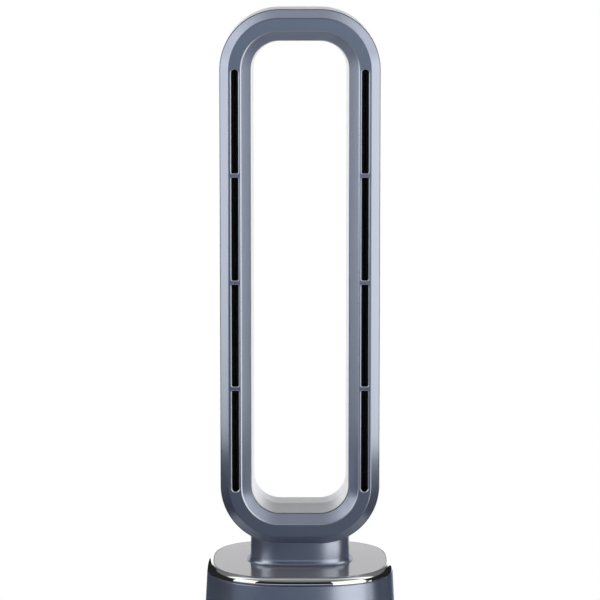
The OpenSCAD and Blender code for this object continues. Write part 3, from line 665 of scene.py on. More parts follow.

# %% [markdown]
# ## The front cover
#
# The cover is a thin moulded shell with a flat band between two slopes. A thin bright line runs
# along each ridge. The outer ridge gets it from a radius of about 2 mm, and the inner one from a
# narrow facet that leans about halfway between the band and the slope, with a painted highlight
# on it. The CAD solid has sharp ridges, which would show no line. Each corner is a distance out, a
# height and a radius. They run over the outside, down into the opening, and back along the inside
# of the wall.

# %% Cover section
COVER_WALL = 2.4
RIDGE_OUT, RIDGE_IN = 64.5, 49.4
FACET_WIDTH, FACET_DROP = 1.57, 0.71
cover_section = rounded([
    (74.5, 46.8, 0.25), (74.5, 48.0, 1.0), (RIDGE_OUT, FRONT, 2.2), (RIDGE_IN, FRONT, 0.4),
    (RIDGE_IN - FACET_WIDTH, FRONT - FACET_DROP, 0.4), (36.3, 44.6, 0.6), (38.9, 44.6, 0),
    (38.9, 38.0, 0), (41.0, 38.0, 0), (41.0, 46.08, 0), (49.53, FRONT - COVER_WALL, 0),
    (63.54, FRONT - COVER_WALL, 0), (70.9, 48.11, 0), (70.9, 40.0, 0), (73.0, 40.0, 0),
    (73.0, 46.8, 0)])
loop_cover = loop_skin("loop_cover", cover_section)
print("cover section has", len(cover_section), "points")

# %% [markdown]
# ### The air slots
#
# Four slots a side let the air out. Round each one the metal paint turns inwards over a small
# bevel. Each cutter is a stack of slot outlines that flares at the front, given as heights and how
# far the outline has grown. One cut takes out all eight.

# %% Cut the slots
SLOT_X, SLOT_W, SLOT_LEN, SLOT_PITCH = 81.7, 8.9, 129.9, 135.2
SLOT_MID = LOOP_MID - 2.7
SLOT_ROWS = 4
SLOT_CORNER = 2.0
FULL_ROUND = 0.998
RIM_STACK = [(52.0, 0), (56.45, 0), (56.58, 0.04), (56.72, 0.15), (57.32, 0.93), (57.44, 1.1),
             (57.5, 1.3), (59.0, 1.32)]


def slot_outline(side, row, grow):
    """One slot's outline. The lowest and the highest slot have a round outer end."""
    half = SLOT_W / 2 + grow
    reach = SLOT_LEN / 2 + grow
    mid = SLOT_MID + (row - (SLOT_ROWS - 1) / 2) * SLOT_PITCH
    low_r = half * FULL_ROUND if row == 0 else SLOT_CORNER + grow
    high_r = half * FULL_ROUND if row == SLOT_ROWS - 1 else SLOT_CORNER + grow
    x = side * SLOT_X
    return rounded([(x + half, mid - reach, low_r), (x + half, mid + reach, high_r),
                    (x - half, mid + reach, high_r), (x - half, mid - reach, low_r)], 10)


cutters = []
for side in (-1, 1):
    for row in range(SLOT_ROWS):
        stack = [[(x, -h, z) for x, z in slot_outline(side, row, grow)] for h, grow in RIM_STACK]
        cutters.append(skin("slot_cutter_%d_%d" % (side, row), stack, path_closed=False))
cut(loop_cover, join(cutters))
weigh(loop_cover)
wear(loop_cover, "body", "grey_lacquer", grey_lacquer, "front_cover")
print("cover faces", len(loop_cover.data.polygons))

# %% [markdown]
# The ridge's facet and the slots' bevels get the lighter lacquer, a painted highlight that shows
# them as the fine bright lines of the real cover. Their faces lie in two bands, each given by how
# far out it reaches and how deep it lies below the flat.

# %% Paint highlights on the ridges
FACET_BAND = ((RIDGE_IN - 1.5, RIDGE_IN - 0.05), (0.03, FACET_DROP - 0.03))
BEVEL_BAND = ((50.0, 62.5), (0.1, 0.8))


def gets_painted_highlight(face):
    """Whether a face of the cover, on the inner ridge's facet or a slot's bevel, gets the painted
    highlight.
    """
    x, y, z = (c / MM for c in face.center)
    reach = math.hypot(max(abs(x) - SPAN_X / 2, 0), max(abs(z - LOOP_MID) - SPAN_Z / 2, 0))
    depth = FRONT + y
    return any(near < reach < far and high < depth < low
               for (near, far), (high, low) in (FACET_BAND, BEVEL_BAND))


# The second slot holds the painted highlight, for the faces on the ridge's facet and the slot
# bevels.
loop_cover.data.materials.append(ridge_lacquer)
painted_highlight_faces = [face for face in loop_cover.data.polygons if gets_painted_highlight(face)]
for face in painted_highlight_faces:
    face.material_index = 1
print("light faces", len(painted_highlight_faces))

# %% [markdown]
# ## The rear shell
#
# The rear shell is silver, rounded at the back, and gives the loop its inner wall. That wall has
# a shallow crease with a fine line in it, where two slopes of the mould meet. Screws reach the
# posts inside through deep wells in the back. A hole below lets the air duct in.

# %% Rear shell
BACK_WALL = 2.5
POST_X, POST_REACH = 69.5, 56
DUCT_HOLE = (106.0, 68.0, 20.0)
rear_section = rounded([
    (75.7, 46.3, 0.6), (75.7, -FRONT, 20), (34.4, -FRONT, 12), (33.42, -5.4, 0),
    (33.9, -5.0, 0), (33.42, -4.6, 0), (36.1, 42.7, 0.3), (38.7, 42.7, 0), (36.4, -5.0, 0),
    (36.9, BACK_WALL - FRONT, 9.5), (73.2, BACK_WALL - FRONT, 17.5), (73.2, 46.3, 0)], steps=8)
loop_back = loop_skin("loop_back", rear_section)

aslant = POST_REACH * math.sqrt(0.5)
POSTS = [(side * POST_X, SLOT_MID + row * SLOT_PITCH) for side in (-1, 1) for row in (-1, 0, 1)]
POSTS += [(side * (SPAN_X / 2 + aslant), LOOP_MID + end * (SPAN_Z / 2 + aslant))
          for side in (-1, 1) for end in (-1, 1)]
POSTS += [(0, LOOP_MID + SPAN_Z / 2 + POST_REACH)]


def rods(name, radius, low, high, flare=0.0):
    """A rod along Y at every post, between two heights, with a flared back end if asked."""
    stack = [(low, radius), (high, radius)]
    if flare:
        stack = [(low, radius + flare), (low + 1, radius + flare), (low + 1 + flare, radius),
                 (high, radius)]
    made = []
    for k, (x, z) in enumerate(POSTS):
        rings = [[(px, -h, pz) for px, pz in disc_outline(r, 40, x, z)] for h, r in stack]
        made.append(skin("%s_%d" % (name, k), rings, path_closed=False))
    return join(made)


cut(loop_back, rods("post", radius=4.0, low=1 - FRONT, high=20.0), "UNION")
cut(loop_back, rods("well", radius=2.95, low=-1 - FRONT, high=17.0, flare=0.5))
cut(loop_back, prism("duct_hole", bar_outline(*DUCT_HOLE), 320, 350))
weigh(loop_back)
wear(loop_back, "body", "silver_plastic", silver_lacquer, "rear_shell")
print("posts", len(POSTS), "rear shell faces", len(loop_back.data.polygons))

# %% [markdown]
# Two dark seams part the silver shell from the cover. Each is a thin soft strip. The outer one
# stands a little proud of the cover's edge, and the inner one lies sunk in its gap.

# %% Seam strips
SEAMS = {
    "outer_seam": [(73.1, 46.34, 0), (75.15, 46.34, 0.1), (75.15, 46.76, 0.1), (73.1, 46.76, 0)],
    "inner_seam": [(36.9, 42.8, 0), (36.9, 44.5, 0), (38.5, 44.5, 0), (38.5, 42.8, 0)],
}
for name, corners in SEAMS.items():
    wear(loop_skin(name, rounded(corners, 2)), "body", "black_rubber", black_rubber)
print("seams", list(SEAMS))

# %% [markdown]
# ## Squircles
#
# Seen from above, the neck and the base are neither boxes nor ellipses, but something between. One
# formula, a superellipse, gives such a shape with no corner between arcs, so reflections glide
# round it. The power in the formula says how square it is. An offset follows the curve's own
# normals.


# %% Squircle
def squircle(half_w, half_d, power, steps, grow=0.0):
    """Points of a superellipse, each moved outwards by grow."""
    outline = []
    for k in range(steps):
        c, s = on_circle(1, 360 * k / steps)
        reach = (abs(c) ** power + abs(s) ** power) ** (-1 / power)
        out = Vector((math.copysign(abs(c) ** (power - 1), c) / half_w,
                      math.copysign(abs(s) ** (power - 1), s) / half_d)).normalized()
        outline.append((half_w * c * reach + out.x * grow, half_d * s * reach + out.y * grow))
    return outline


print("corner of a squircle", squircle(1, 1, 2.8, 8)[1])

# %% [markdown]
# ## The neck
#
# The neck is a short tube of the same lacquer as the cover. Its foot flows into the plate with a
# small fillet, and its top follows the loop's underside. Every upright strip of the tube is known
# from the outline and the loop's radius, so the mesh is made directly, without a cut.

# %% Neck
NECK_W, NECK_D, NECK_WALL = 63.5, 44.0, 6.0
NECK_SQUARE, NECK_HOLE_SQUARE = 3.1, 3.3
NECK_STEPS = 160
PLATE_Z = 300.0
FILLET, FILLET_RISE = 4.5, 8.0
CLEAR_OF_LOOP = 75.9


def under_loop(x):
    """Height of the neck's top edge at x, just clear of the loop."""
    out = max(0.0, abs(x) - SPAN_X / 2)
    return LOOP_MID - SPAN_Z / 2 - math.sqrt(CLEAR_OF_LOOP ** 2 - out ** 2)


fillet_rows = [(FILLET * (1 - math.cos(math.radians(a))),
                PLATE_Z + FILLET_RISE * (1 - math.sin(math.radians(a))))
               for a in range(90, -1, -9)]
neck_hole = squircle(NECK_W - NECK_WALL, NECK_D - NECK_WALL, NECK_HOLE_SQUARE, NECK_STEPS)
neck_edge = squircle(NECK_W, NECK_D, NECK_SQUARE, NECK_STEPS)
levels = [(neck_hole, PLATE_Z)]
levels += [(squircle(NECK_W, NECK_D, NECK_SQUARE, NECK_STEPS, grow), z)
           for grow, z in fillet_rows]
rings = []
for k in range(NECK_STEPS):
    ring = [(*outline[k], z) for outline, z in levels]
    rings.append(ring + [(*edge[k], under_loop(edge[k][0])) for edge in (neck_edge, neck_hole)])
neck_tube = skin("neck_tube", rings)
weigh(neck_tube)
wear(neck_tube, "body", "grey_lacquer", grey_lacquer, "neck")
print("neck faces", len(neck_tube.data.polygons))

# %% [markdown]
# ## The outline of the base
#
# The plate, the bright ring and the body share one outline. Each of them is a section carried
# round it, a certain distance outside. A node tree does that: it turns the outline's points into
# a closed curve, and the section into another, and sweeps one along the other.

# %% Outline of the base
PLATE_HALF = 111.3
SQUARENESS = 2.8
BASE_STEPS = 208

carry_tree, ins = new_tree("carry_section", [("Section", "Object", None)])
node = partial(add, carry_tree)
path = node("GeometryNodeMeshToCurve", {"Mesh": ins["Geometry"]})
path = node("GeometryNodeSetCurveNormal", {"Curve": path}, mode="Z_UP")
section_mesh = node("GeometryNodeObjectInfo", {"Object": ins["Section"]})
section_line = node("GeometryNodeMeshToCurve", {"Mesh": section_mesh["Geometry"]})
swept = node("GeometryNodeCurveToMesh", {"Curve": path, "Profile Curve": section_line})
end_tree(carry_tree, ins, swept)


def base_outline(grow, steps=BASE_STEPS):
    """The base's outline, moved outwards by grow."""
    return squircle(PLATE_HALF, PLATE_HALF, SQUARENESS, steps, grow)


def ring_edges(count):
    """Edges that join points into a closed ring."""
    return [(k, (k + 1) % count) for k in range(count)]


def base_skin(name, section, finish):
    """Carries a closed section of (distance outside the outline, height) round the base."""
    holder = new_piece("section", [(grow, -z, 0) for grow, z in section],
                       edges=ring_edges(len(section)))
    piece = grow_piece(
        name, carry_tree, [(x, y, 0) for x, y in base_outline(0)],
        {"Section": holder, "Finish": finish}, edges=ring_edges(BASE_STEPS))
    bpy.data.objects.remove(holder)
    return piece


print("base outline has", BASE_STEPS, "points")

# %% [markdown]
# ## The plate and the bright ring
#
# The plate is polished metal, almost a mirror, with a fine soft edge. The chromed ring round it
# falls away in a quarter of an ellipse. Both are sections carried round the outline. The plate's
# section ends at the hole for the air duct, hidden under the neck. Its last two corners only steer
# the rounding of the first one, and are dropped.

# %% Plate
PLATE_LOW, SKIRT_LOW = 296.8, 287.1
PLATE_GAP, SKIRT_WALL = 0.15, 2.7
TINY = 1e-9


def duct_edge(k):
    """Where the ray to outline point k crosses the duct hole's edge."""
    c, s = on_circle(1, 360 * k / BASE_STEPS)
    w, d, r = DUCT_HOLE[0] / 2, DUCT_HOLE[1] / 2, DUCT_HOLE[2]
    reach = min(w / max(abs(c), TINY), d / max(abs(s), TINY))
    cx, cy = w - r, d - r
    if reach * abs(c) > cx and reach * abs(s) > cy:
        along = cx * abs(c) + cy * abs(s)
        reach = along + math.sqrt(along ** 2 - cx ** 2 - cy ** 2 + r ** 2)
    return (reach * c, reach * s)


plate_rim = rounded([(-PLATE_GAP, PLATE_Z, 0.6), (-PLATE_GAP, SKIRT_LOW, 0.3),
                     (-SKIRT_WALL, SKIRT_LOW, 0), (-SKIRT_WALL, PLATE_LOW, 0),
                     (-20, PLATE_LOW, 0), (-20, PLATE_Z, 0)], 5)[:-2]
loops = [[(x, y, z) for x, y in base_outline(grow)] for grow, z in plate_rim]
loops += [[(*duct_edge(k), z) for k in range(BASE_STEPS)] for z in (PLATE_LOW, PLATE_Z)]
polished_plate = skin("polished_plate", [[ring[k] for ring in loops] for k in range(BASE_STEPS)])
weigh(polished_plate)
wear(polished_plate, "body", "plate_metal", polished_metal, "top_plate")
print("plate faces", len(polished_plate.data.polygons))

# %% Bright ring
RING_LOW, RING_GAP, RING_W, RING_H, LIP = 290.8, 0.3, 7.8, 9.2, 0.8
RING_FOOT = 4.8
ring_section = [(RING_GAP + RING_W * math.sin(math.radians(a)),
                 RING_LOW + LIP + (RING_H - LIP) * math.cos(math.radians(a)))
                for a in range(0, 91, 6)]
ring_section += [(RING_GAP + RING_W - LIP * (1 - math.cos(math.radians(a))),
                  RING_LOW + LIP * (1 - math.sin(math.radians(a)))) for a in range(15, 91, 15)]
ring_section += [(RING_FOOT, RING_LOW), (RING_FOOT, SKIRT_LOW), (RING_GAP, SKIRT_LOW)]
bright_ring = base_skin("bright_ring", ring_section, ring_chrome)
weigh(bright_ring)
wear(bright_ring, "body", "ring_chrome", ring_chrome, "chrome_ring")
print("ring faces", len(bright_ring.data.polygons))

# %% [markdown]
# ## The body
#
# The body widens towards the floor by three degrees a side. It is one shell, open below, with a
# flange at the top.

# %% Body shell
BODY_TOP, BODY_LOW = 290.2, 16.5
BODY_OUT = 8.2
TAPER = math.radians(3)
FLANGE, FLANGE_T, FLANGE_IN = 284.0, 3, -10
WALL = 3.0


def body_grow(z):
    """How far the body's wall stands outside the plate's outline at height z."""
    return BODY_OUT + (BODY_TOP - z) * math.tan(TAPER)


base_body = base_skin("base_body", rounded([
    (body_grow(BODY_TOP), BODY_TOP, 0.9), (body_grow(BODY_LOW), BODY_LOW, 0.9),
    (body_grow(BODY_LOW) - WALL, BODY_LOW, 0), (body_grow(FLANGE) - WALL, FLANGE, 0),
    (FLANGE_IN, FLANGE, 0), (FLANGE_IN, FLANGE + FLANGE_T, 0),
    (body_grow(FLANGE + FLANGE_T) - WALL, FLANGE + FLANGE_T, 0),
    (body_grow(BODY_TOP) - WALL, BODY_TOP, 0)], 4), grey_lacquer)
print("body faces before the cuts", len(base_body.data.polygons))

# %% [markdown]
# The body has an opening for the control panel in front and one for the intake at the back. Four
# bosses with ribs take the screws of the floor.

# %% Openings and bosses
PANEL_W, PANEL_H, PANEL_Z, PANEL_CORNER = 56.0, 96.0, 208.0, 10
WINDOW_W, WINDOW_LOW, WINDOW_HIGH, WINDOW_CORNER = 150.0, 45.0, 235.0, 8.0
WINDOW_MID = (WINDOW_LOW + WINDOW_HIGH) / 2
BOSS_REACH, BOSS_R, BOSS_LOW, BOSS_HIGH = 112, 4, 20.1, 34.1
RIB_MID, RIB_LEN, RIB_W = 128.25, 25.5, 3.0
panel_frame = (Matrix.Translation((0, -PLATE_HALF - body_grow(PANEL_Z), PANEL_Z))
               @ Matrix.Rotation(math.radians(90) - TAPER, 4, "X"))
back_frame = (Matrix.Translation((0, 60, WINDOW_MID))
              @ Matrix.Rotation(math.radians(-90), 4, "X"))


def panel_cutter(name, outline, deep=7.0, out=7.0):
    """A prism straight through the front wall, drawn on the panel's face."""
    cutter = prism(name, outline, -deep, out)
    turn_into_place(cutter, panel_frame)
    return cutter


def back_cutter(name, outline):
    """A prism straight through the back wall."""
    cutter = prism(name, outline, 0, 100)
    turn_into_place(cutter, back_frame)
    return cutter


def window_outline(less):
    """The intake window, smaller by less on each side."""
    return bar_outline(WINDOW_W - 2 * less, WINDOW_HIGH - WINDOW_LOW - 2 * less, WINDOW_CORNER)


cut(base_body, panel_cutter("panel_hole", bar_outline(PANEL_W, PANEL_H, PANEL_CORNER)))
cut(base_body, back_cutter("window_hole", window_outline(0)))
for angle in (45, 135, 225, 315):
    seat = on_circle(BOSS_REACH, angle)
    cut(base_body, prism("boss", disc_outline(BOSS_R, 32, *seat), BOSS_LOW, BOSS_HIGH), "UNION")
    rib = prism("rib", block(RIB_MID, 0, RIB_LEN, RIB_W), BOSS_LOW, BOSS_HIGH)
    turn_into_place(rib, Matrix.Rotation(math.radians(angle), 4, "Z"))
    cut(base_body, rib, "UNION")
weigh(base_body)
wear(base_body, "body", "grey_lacquer", grey_lacquer, "body_shell")
print("body faces", len(base_body.data.polygons))

# %% [markdown]
# ## The intake grille
#
# Air enters through a window of upright slats in the back. The frame is a skin just below the
# body's wall, and two ties run across behind it.

# %% Grille frame
SKIN_OUT, SKIN_IN = 0.4, 2.8
LOUVRE_W, LOUVRE_H, LOUVRE_CORNER = 137.2, 174.0, 5
TIE_HEIGHTS, TIE_HALF, TIE_OUT, TIE_IN = (-30, 30), 1.5, 2.2, 3.6


def wall_band(name, low, high, out, deep, finish):
    """A band of the wall's own curve, between two depths below its face."""
    return base_skin(name, [(body_grow(low) - out, low), (body_grow(high) - out, high),
                            (body_grow(high) - deep, high), (body_grow(low) - deep, low)], finish)


rear_grille = wall_band("rear_grille", WINDOW_LOW - 1, WINDOW_HIGH + 1, SKIN_OUT, SKIN_IN,
                        dark_plastic)
cut(rear_grille, back_cutter("window_edge", window_outline(0.3)), "INTERSECT")
cut(rear_grille, back_cutter("louvre_hole", bar_outline(LOUVRE_W, LOUVRE_H, LOUVRE_CORNER)))
for height in TIE_HEIGHTS:
    tie = wall_band("tie_bar", WINDOW_MID + height - TIE_HALF, WINDOW_MID + height + TIE_HALF,
                    TIE_OUT, TIE_IN, dark_plastic)
    cut(tie, back_cutter("tie_edge", window_outline(1.0)), "INTERSECT")
    cut(rear_grille, tie, "UNION")
print("grille frame faces", len(rear_grille.data.polygons))

# %% [markdown]
# The slats repeat along the wall's curve, so a tree places them: it draws one slat with rounded
# edges, lays the curve out in even steps, and turns each slat to the wall's outward direction and
# its lean. The sizes among its inputs are in metres.

# %% Slat tree
slat_tree, ins = new_tree("slats_along_curve", [
    ("Count", "Int", 18), ("Width", "Float", 0.0032), ("Depth", "Float", 0.0021),
    ("Height", "Float", 0.176), ("Corner", "Float", 0.0008), ("Lean", "Float", 0.0)])
node = partial(add, slat_tree)
outline = node(
    "GeometryNodeCurvePrimitiveQuadrilateral", {"Width": ins["Width"], "Height": ins["Depth"]})
outline = node(
    "GeometryNodeFilletCurve", {"Curve": outline, "Radius": ins["Corner"], "Count": 3}, mode="POLY")
middle = node("ShaderNodeMath", {0: ins["Height"], 1: -0.5}, operation="MULTIPLY")
foot_end = node("ShaderNodeCombineXYZ", {"Z": middle})
length = node("ShaderNodeCombineXYZ", {"Z": ins["Height"]})
head_end = node("ShaderNodeVectorMath", {0: foot_end, 1: length}, operation="ADD")
line = node("GeometryNodeCurvePrimitiveLine", {"Start": foot_end, "End": head_end})
slat = node("GeometryNodeCurveToMesh", {"Curve": line, "Profile Curve": outline, "Fill Caps": True})
wall_line = node("GeometryNodeMeshToCurve", {"Mesh": ins["Geometry"]})
steps = node("GeometryNodeResampleCurve", {"Curve": wall_line, "Count": ins["Count"]})
facing = node("GeometryNodeInputNamedAttribute", {"Name": "facing"}, data_type="FLOAT_VECTOR")
turned = node("FunctionNodeAlignRotationToVector", {"Vector": facing}, axis="Y", pivot_axis="Z")
lean = node("FunctionNodeAxisAngleToRotation", {"Axis": (1, 0, 0), "Angle": ins["Lean"]})
leaned = node(
    "FunctionNodeRotateRotation", {"Rotation": turned, "Rotate By": lean}, rotation_space="LOCAL")
slats = node(
    "GeometryNodeInstanceOnPoints", {"Points": steps, "Instance": slat, "Rotation": leaned})
end_tree(slat_tree, ins, slats)
print("slat tree has", len(slat_tree.nodes), "nodes")

# %% Place the slats
SLATS, SLAT_PITCH, SLAT_DEPTH = 18, 7.4, 1.65
FINE_STEPS = 4 * BASE_STEPS
wall_face = base_outline(body_grow(WINDOW_MID), FINE_STEPS)
slat_line = base_outline(body_grow(WINDOW_MID) - SLAT_DEPTH, FINE_STEPS)
reach_x = SLAT_PITCH * (SLATS - 1) / 2
arc = [k for k, (x, y) in enumerate(slat_line) if y > 0 and abs(x) <= reach_x]
grille_slats = grow_piece(
    "grille_slats", slat_tree, [(*slat_line[k], WINDOW_MID) for k in arc],
    {"Count": SLATS, "Lean": TAPER, "Finish": dark_plastic},
    edges=[(k, k + 1) for k in range(len(arc) - 1)],
    facing=[(*(Vector(wall_face[k]) - Vector(slat_line[k])), 0) for k in arc])
print("slats", SLATS, "faces", len(grille_slats.data.polygons))
cut(rear_grille, grille_slats, "UNION")
weigh(rear_grille)
wear(rear_grille, "body", "dark_plastic", dark_plastic, "intake_grille")

# %% [markdown]
# ## The control panel
#
# The panel is a black plate let flush into the front of the body, with a window for the display
# and round holes for five buttons. It is cut from the wall's own curve, so it can't stand off the
# body, and a fine bevel draws its edge. Four short posts behind it hold the board. A button is
# given by its place on the panel and its radius.

# %% Panel and display window
LENS_W, LENS_H, LENS_Y, LENS_CORNER = 38.0, 20.0, 28.0, 4
BUTTONS = {"power": (0, -34, 7.2), "speed_down": (-15, 2, 6.2), "speed_up": (15, 2, 6.2),
           "timer": (-15, -17, 6.2), "swivel": (15, -17, 6.2)}
BAND_LOW, BAND_HIGH = PANEL_Z - PANEL_H / 2 - 2, PANEL_Z + PANEL_H / 2 + 2
PANEL_T, LENS_T = 3.0, 2.2
GAP, BUTTON_GAP = 0.4, 0.3
HOLDER_X, HOLDER_Y, HOLDER_R = 22.5, 41, 2.2
SOFT_EDGE = 0.25
SOFT_FROM = math.radians(50)


def soften(piece):
    """A fine bevel on the hard edges."""
    step = piece.modifiers.new("soften", "BEVEL")
    step.width = SOFT_EDGE * MM
    step.segments = 2
    step.limit_method = "ANGLE"
    step.angle_limit = SOFT_FROM
    weigh(piece)


control_face = wall_band("control_face", BAND_LOW, BAND_HIGH, 0.0, PANEL_T, panel_gloss)
cut(control_face, panel_cutter("panel_edge", bar_outline(
    PANEL_W - GAP, PANEL_H - GAP, PANEL_CORNER - GAP / 2)), "INTERSECT")
cut(control_face, panel_cutter("lens_hole", bar_outline(
    LENS_W + GAP, LENS_H + GAP, LENS_CORNER + GAP / 2, 0, LENS_Y)))
for x, y, radius in BUTTONS.values():
    cut(control_face, panel_cutter("button_hole", disc_outline(radius + BUTTON_GAP, 64, x, y)))
for x in (-HOLDER_X, HOLDER_X):
    for y in (-HOLDER_Y, HOLDER_Y):
        post = panel_cutter("panel_post", disc_outline(HOLDER_R, 24, x, y), deep=12, out=-2.5)
        cut(control_face, post, "UNION")
soften(control_face)
wear(control_face, "body", "panel_gloss", panel_gloss, "control_panel")

display_window = wall_band("display_window", BAND_LOW, BAND_HIGH, 0.0, LENS_T, smoked_glass)
cut(display_window, panel_cutter("window_rim", bar_outline(
    LENS_W, LENS_H, LENS_CORNER, 0, LENS_Y)), "INTERSECT")
soften(display_window)
wear(display_window, "body", "panel_gloss", smoked_glass, "display_lens")
print("panel faces", len(control_face.data.polygons))

# %% [markdown]
# ### The display's digits
#
# The display shows a timer of two digits, each made of seven bars. Every bar is a thin flat prism
# that lies on the window, so no picture is needed. A bar is given by its two ends.

# %% Digits
BARS = {"a": (-2, 4.6, 2, 4.6), "b": (2.4, 4.2, 2.4, 0.4), "c": (2.4, -0.4, 2.4, -4.2),
        "d": (-2, -4.6, 2, -4.6), "e": (-2.4, -0.4, -2.4, -4.2), "f": (-2.4, 4.2, -2.4, 0.4),
        "g": (-2, 0, 2, 0)}
BAR_HALF = 0.42
DIGITS = ((-4.6, "abged"), (4.6, "fgbc"))


def bar_between(x0, y0, x1, y1):
    """A bar with pointed ends."""
    along = Vector((x1 - x0, y1 - y0)).normalized()
    side = Vector((-along.y, along.x)) * BAR_HALF
    start, end = Vector((x0, y0)), Vector((x1, y1))
    near, far = start + along * BAR_HALF, end - along * BAR_HALF
    return [tuple(p) for p in (start, near - side, far - side, end, far + side, near + side)]


def on_panel(name, outlines, low, high):
    """Flat prisms between two heights over the panel's face, as one object."""
    piece = join([panel_cutter("%s_%d" % (name, k), outline, -low, high)
                  for k, outline in enumerate(outlines)])
    piece.name = name
    return piece


lit = []
for x, shown in DIGITS:
    for bar in shown:
        x0, y0, x1, y1 = BARS[bar]
        lit.append(bar_between(x + x0, LENS_Y + y0, x + x1, LENS_Y + y1))
display_digits = on_panel("display_digits", lit, -0.4, 0.05)
wear(display_digits, "body", "panel_gloss", white_print)
print("lit bars", len(lit))

# %% [markdown]
# ### The buttons
#
# Each button is turned on a lathe: a shallow dish where the fingertip rests, a soft rim, and a
# flange below that stops it from falling out. Its sign is a thin raised mark. Both ride on the
# button's own body, so they go in together when it is pressed.

# %% Signs
ARC_STEPS = 28


def arc_band(radius, half, start, end):
    """A curved stripe from one angle to another."""
    turns = [start + (end - start) * k / ARC_STEPS for k in range(ARC_STEPS + 1)]
    return ([on_circle(radius + half, turn) for turn in turns]
            + [on_circle(radius - half, turn) for turn in reversed(turns)])


def arrow_head(radius, angle, turn):
    """A triangle at the end of a curved stripe."""
    out = Vector(on_circle(1, angle))
    ahead = Vector((-out.y, out.x)) * turn
    tip = out * radius + ahead * 1.4
    return [tuple(p) for p in (out * (radius - 1.0), out * (radius + 1.0), tip)]


SIGNS = {
    "power": [arc_band(2.9, 0.35, 125, 415), block(0, 2.5, 0.7, 2.8)],
    "speed_down": [block(0, 0, 4.6, 0.7)],
    "speed_up": [block(0, 0, 4.6, 0.7), block(0, 1.325, 0.7, 1.95), block(0, -1.325, 0.7, 1.95)],
    "timer": [arc_band(2.7, 0.3, 92, 448), block(0, 0.85, 0.6, 1.7), block(0.95, 0, 1.3, 0.6)],
    "swivel": [arc_band(2.7, 0.3, 205, 335), arrow_head(2.7, 335, 1), arrow_head(2.7, 205, -1),
               block(0, 1.2, 1.3, 1.3)],
}
print("signs", sorted(SIGNS))

# %% Buttons
PROUD = 0.6
STOP_OUT, STOP_TOP, STOP_LOW, STEM_LOW = 1.3, -4.4, -5.8, -8
for key, (x, y, radius) in BUTTONS.items():
    cap = lathe(key + "_cap", [
        (0, PROUD - 0.3), (0.45 * radius, PROUD - 0.24), (0.72 * radius, PROUD - 0.1),
        (radius - 0.8, PROUD), (radius - 0.35, PROUD - 0.07), (radius - 0.1, PROUD - 0.25),
        (radius, PROUD - 0.5), (radius, STOP_TOP), (radius + STOP_OUT, STOP_TOP),
        (radius + STOP_OUT, STOP_LOW), (radius, STOP_LOW), (radius, STEM_LOW), (0, STEM_LOW)], 64)
    turn_into_place(cap, panel_frame @ Matrix.Translation((x, y, 0)))
    wear(cap, key + "_key", "button_plastic", button_plastic, key + "_button")
    marks = [[(px + x, py + y) for px, py in outline] for outline in SIGNS[key]]
    sign = on_panel(key + "_sign", marks, 0.0, PROUD - 0.1)
    wear(sign, key + "_key", "button_plastic", white_print)
print("buttons", sorted(BUTTONS))

# %% [markdown]
# ## Screws
#
# Every screw on the fan is the same kind: a pan head with a crossed recess and a plain shank. One
# head is turned and cut, and a node tree copies it to each seat, points it outwards, and spins it
# by a random angle, because no two screws stop at the same turn. The seed is fixed, so each run
# gives the same screws. The sizes among the tree's inputs are in metres.

# %% Screw tree
RECESS_LEN, RECESS_W, RECESS_LOW = 3.2, 0.65, 0.9
pan_head = lathe("pan_head", [(0, 0), (2.7, 0), (2.7, 0.7), (2.45, 1.25), (1.9, 1.7), (1.2, 1.9),
                              (0, 1.9)], 28)
for w, h in ((RECESS_LEN, RECESS_W), (RECESS_W, RECESS_LEN)):
    cut(pan_head, prism("recess", block(0, 0, w, h), RECESS_LOW, 3))

screw_tree, ins = new_tree("screws_on_seats", [
    ("Head", "Object", None), ("Shank radius", "Float", 0.00145), ("Shank length", "Float", 0.015),
    ("Head scale", "Vector", (1, 1, 1)), ("Seed", "Int", 7)])
node = partial(add, screw_tree)
head = node("GeometryNodeObjectInfo", {"Object": ins["Head"]})
head = node("GeometryNodeTransform", {"Geometry": head["Geometry"], "Scale": ins["Head scale"]})
down = node("ShaderNodeMath", {0: ins["Shank length"], 1: -1.0}, operation="MULTIPLY")
tip = node("ShaderNodeCombineXYZ", {"Z": down})
axis_line = node("GeometryNodeCurvePrimitiveLine", {"Start": (0, 0, 0.0004), "End": tip})
round_line = node(
    "GeometryNodeCurvePrimitiveCircle", {"Resolution": 20, "Radius": ins["Shank radius"]})
shank = node(
    "GeometryNodeCurveToMesh", {"Curve": axis_line, "Profile Curve": round_line, "Fill Caps": True})
screw = node("GeometryNodeJoinGeometry", {})
for part in (head, shank):
    screw_tree.links.new(part[0], screw[0].node.inputs[0])
facing = node("GeometryNodeInputNamedAttribute", {"Name": "facing"}, data_type="FLOAT_VECTOR")
aimed = node("FunctionNodeAlignRotationToVector", {"Vector": facing}, axis="Z")
chance = node("FunctionNodeRandomValue", {"Seed": ins["Seed"]}, data_type="FLOAT")
full = node("ShaderNodeMath", {0: chance[1], 1: 2 * math.pi}, operation="MULTIPLY")
spin = node("FunctionNodeAxisAngleToRotation", {"Axis": (0, 0, 1), "Angle": full})
spun = node(
    "FunctionNodeRotateRotation", {"Rotation": aimed, "Rotate By": spin}, rotation_space="LOCAL")
copies = node(
    "GeometryNodeInstanceOnPoints",
    {"Points": ins["Geometry"], "Instance": screw, "Rotation": spun})
end_tree(screw_tree, ins, copies)
print("screw tree has", len(screw_tree.nodes), "nodes")


# %% Fit the screws
def ring_of_seats(count, radius, first, z):
    """Seats spaced evenly round the Z axis, the first at an angle in degrees."""
    return [(*on_circle(radius, first + 360 * k / count), z) for k in range(count)]


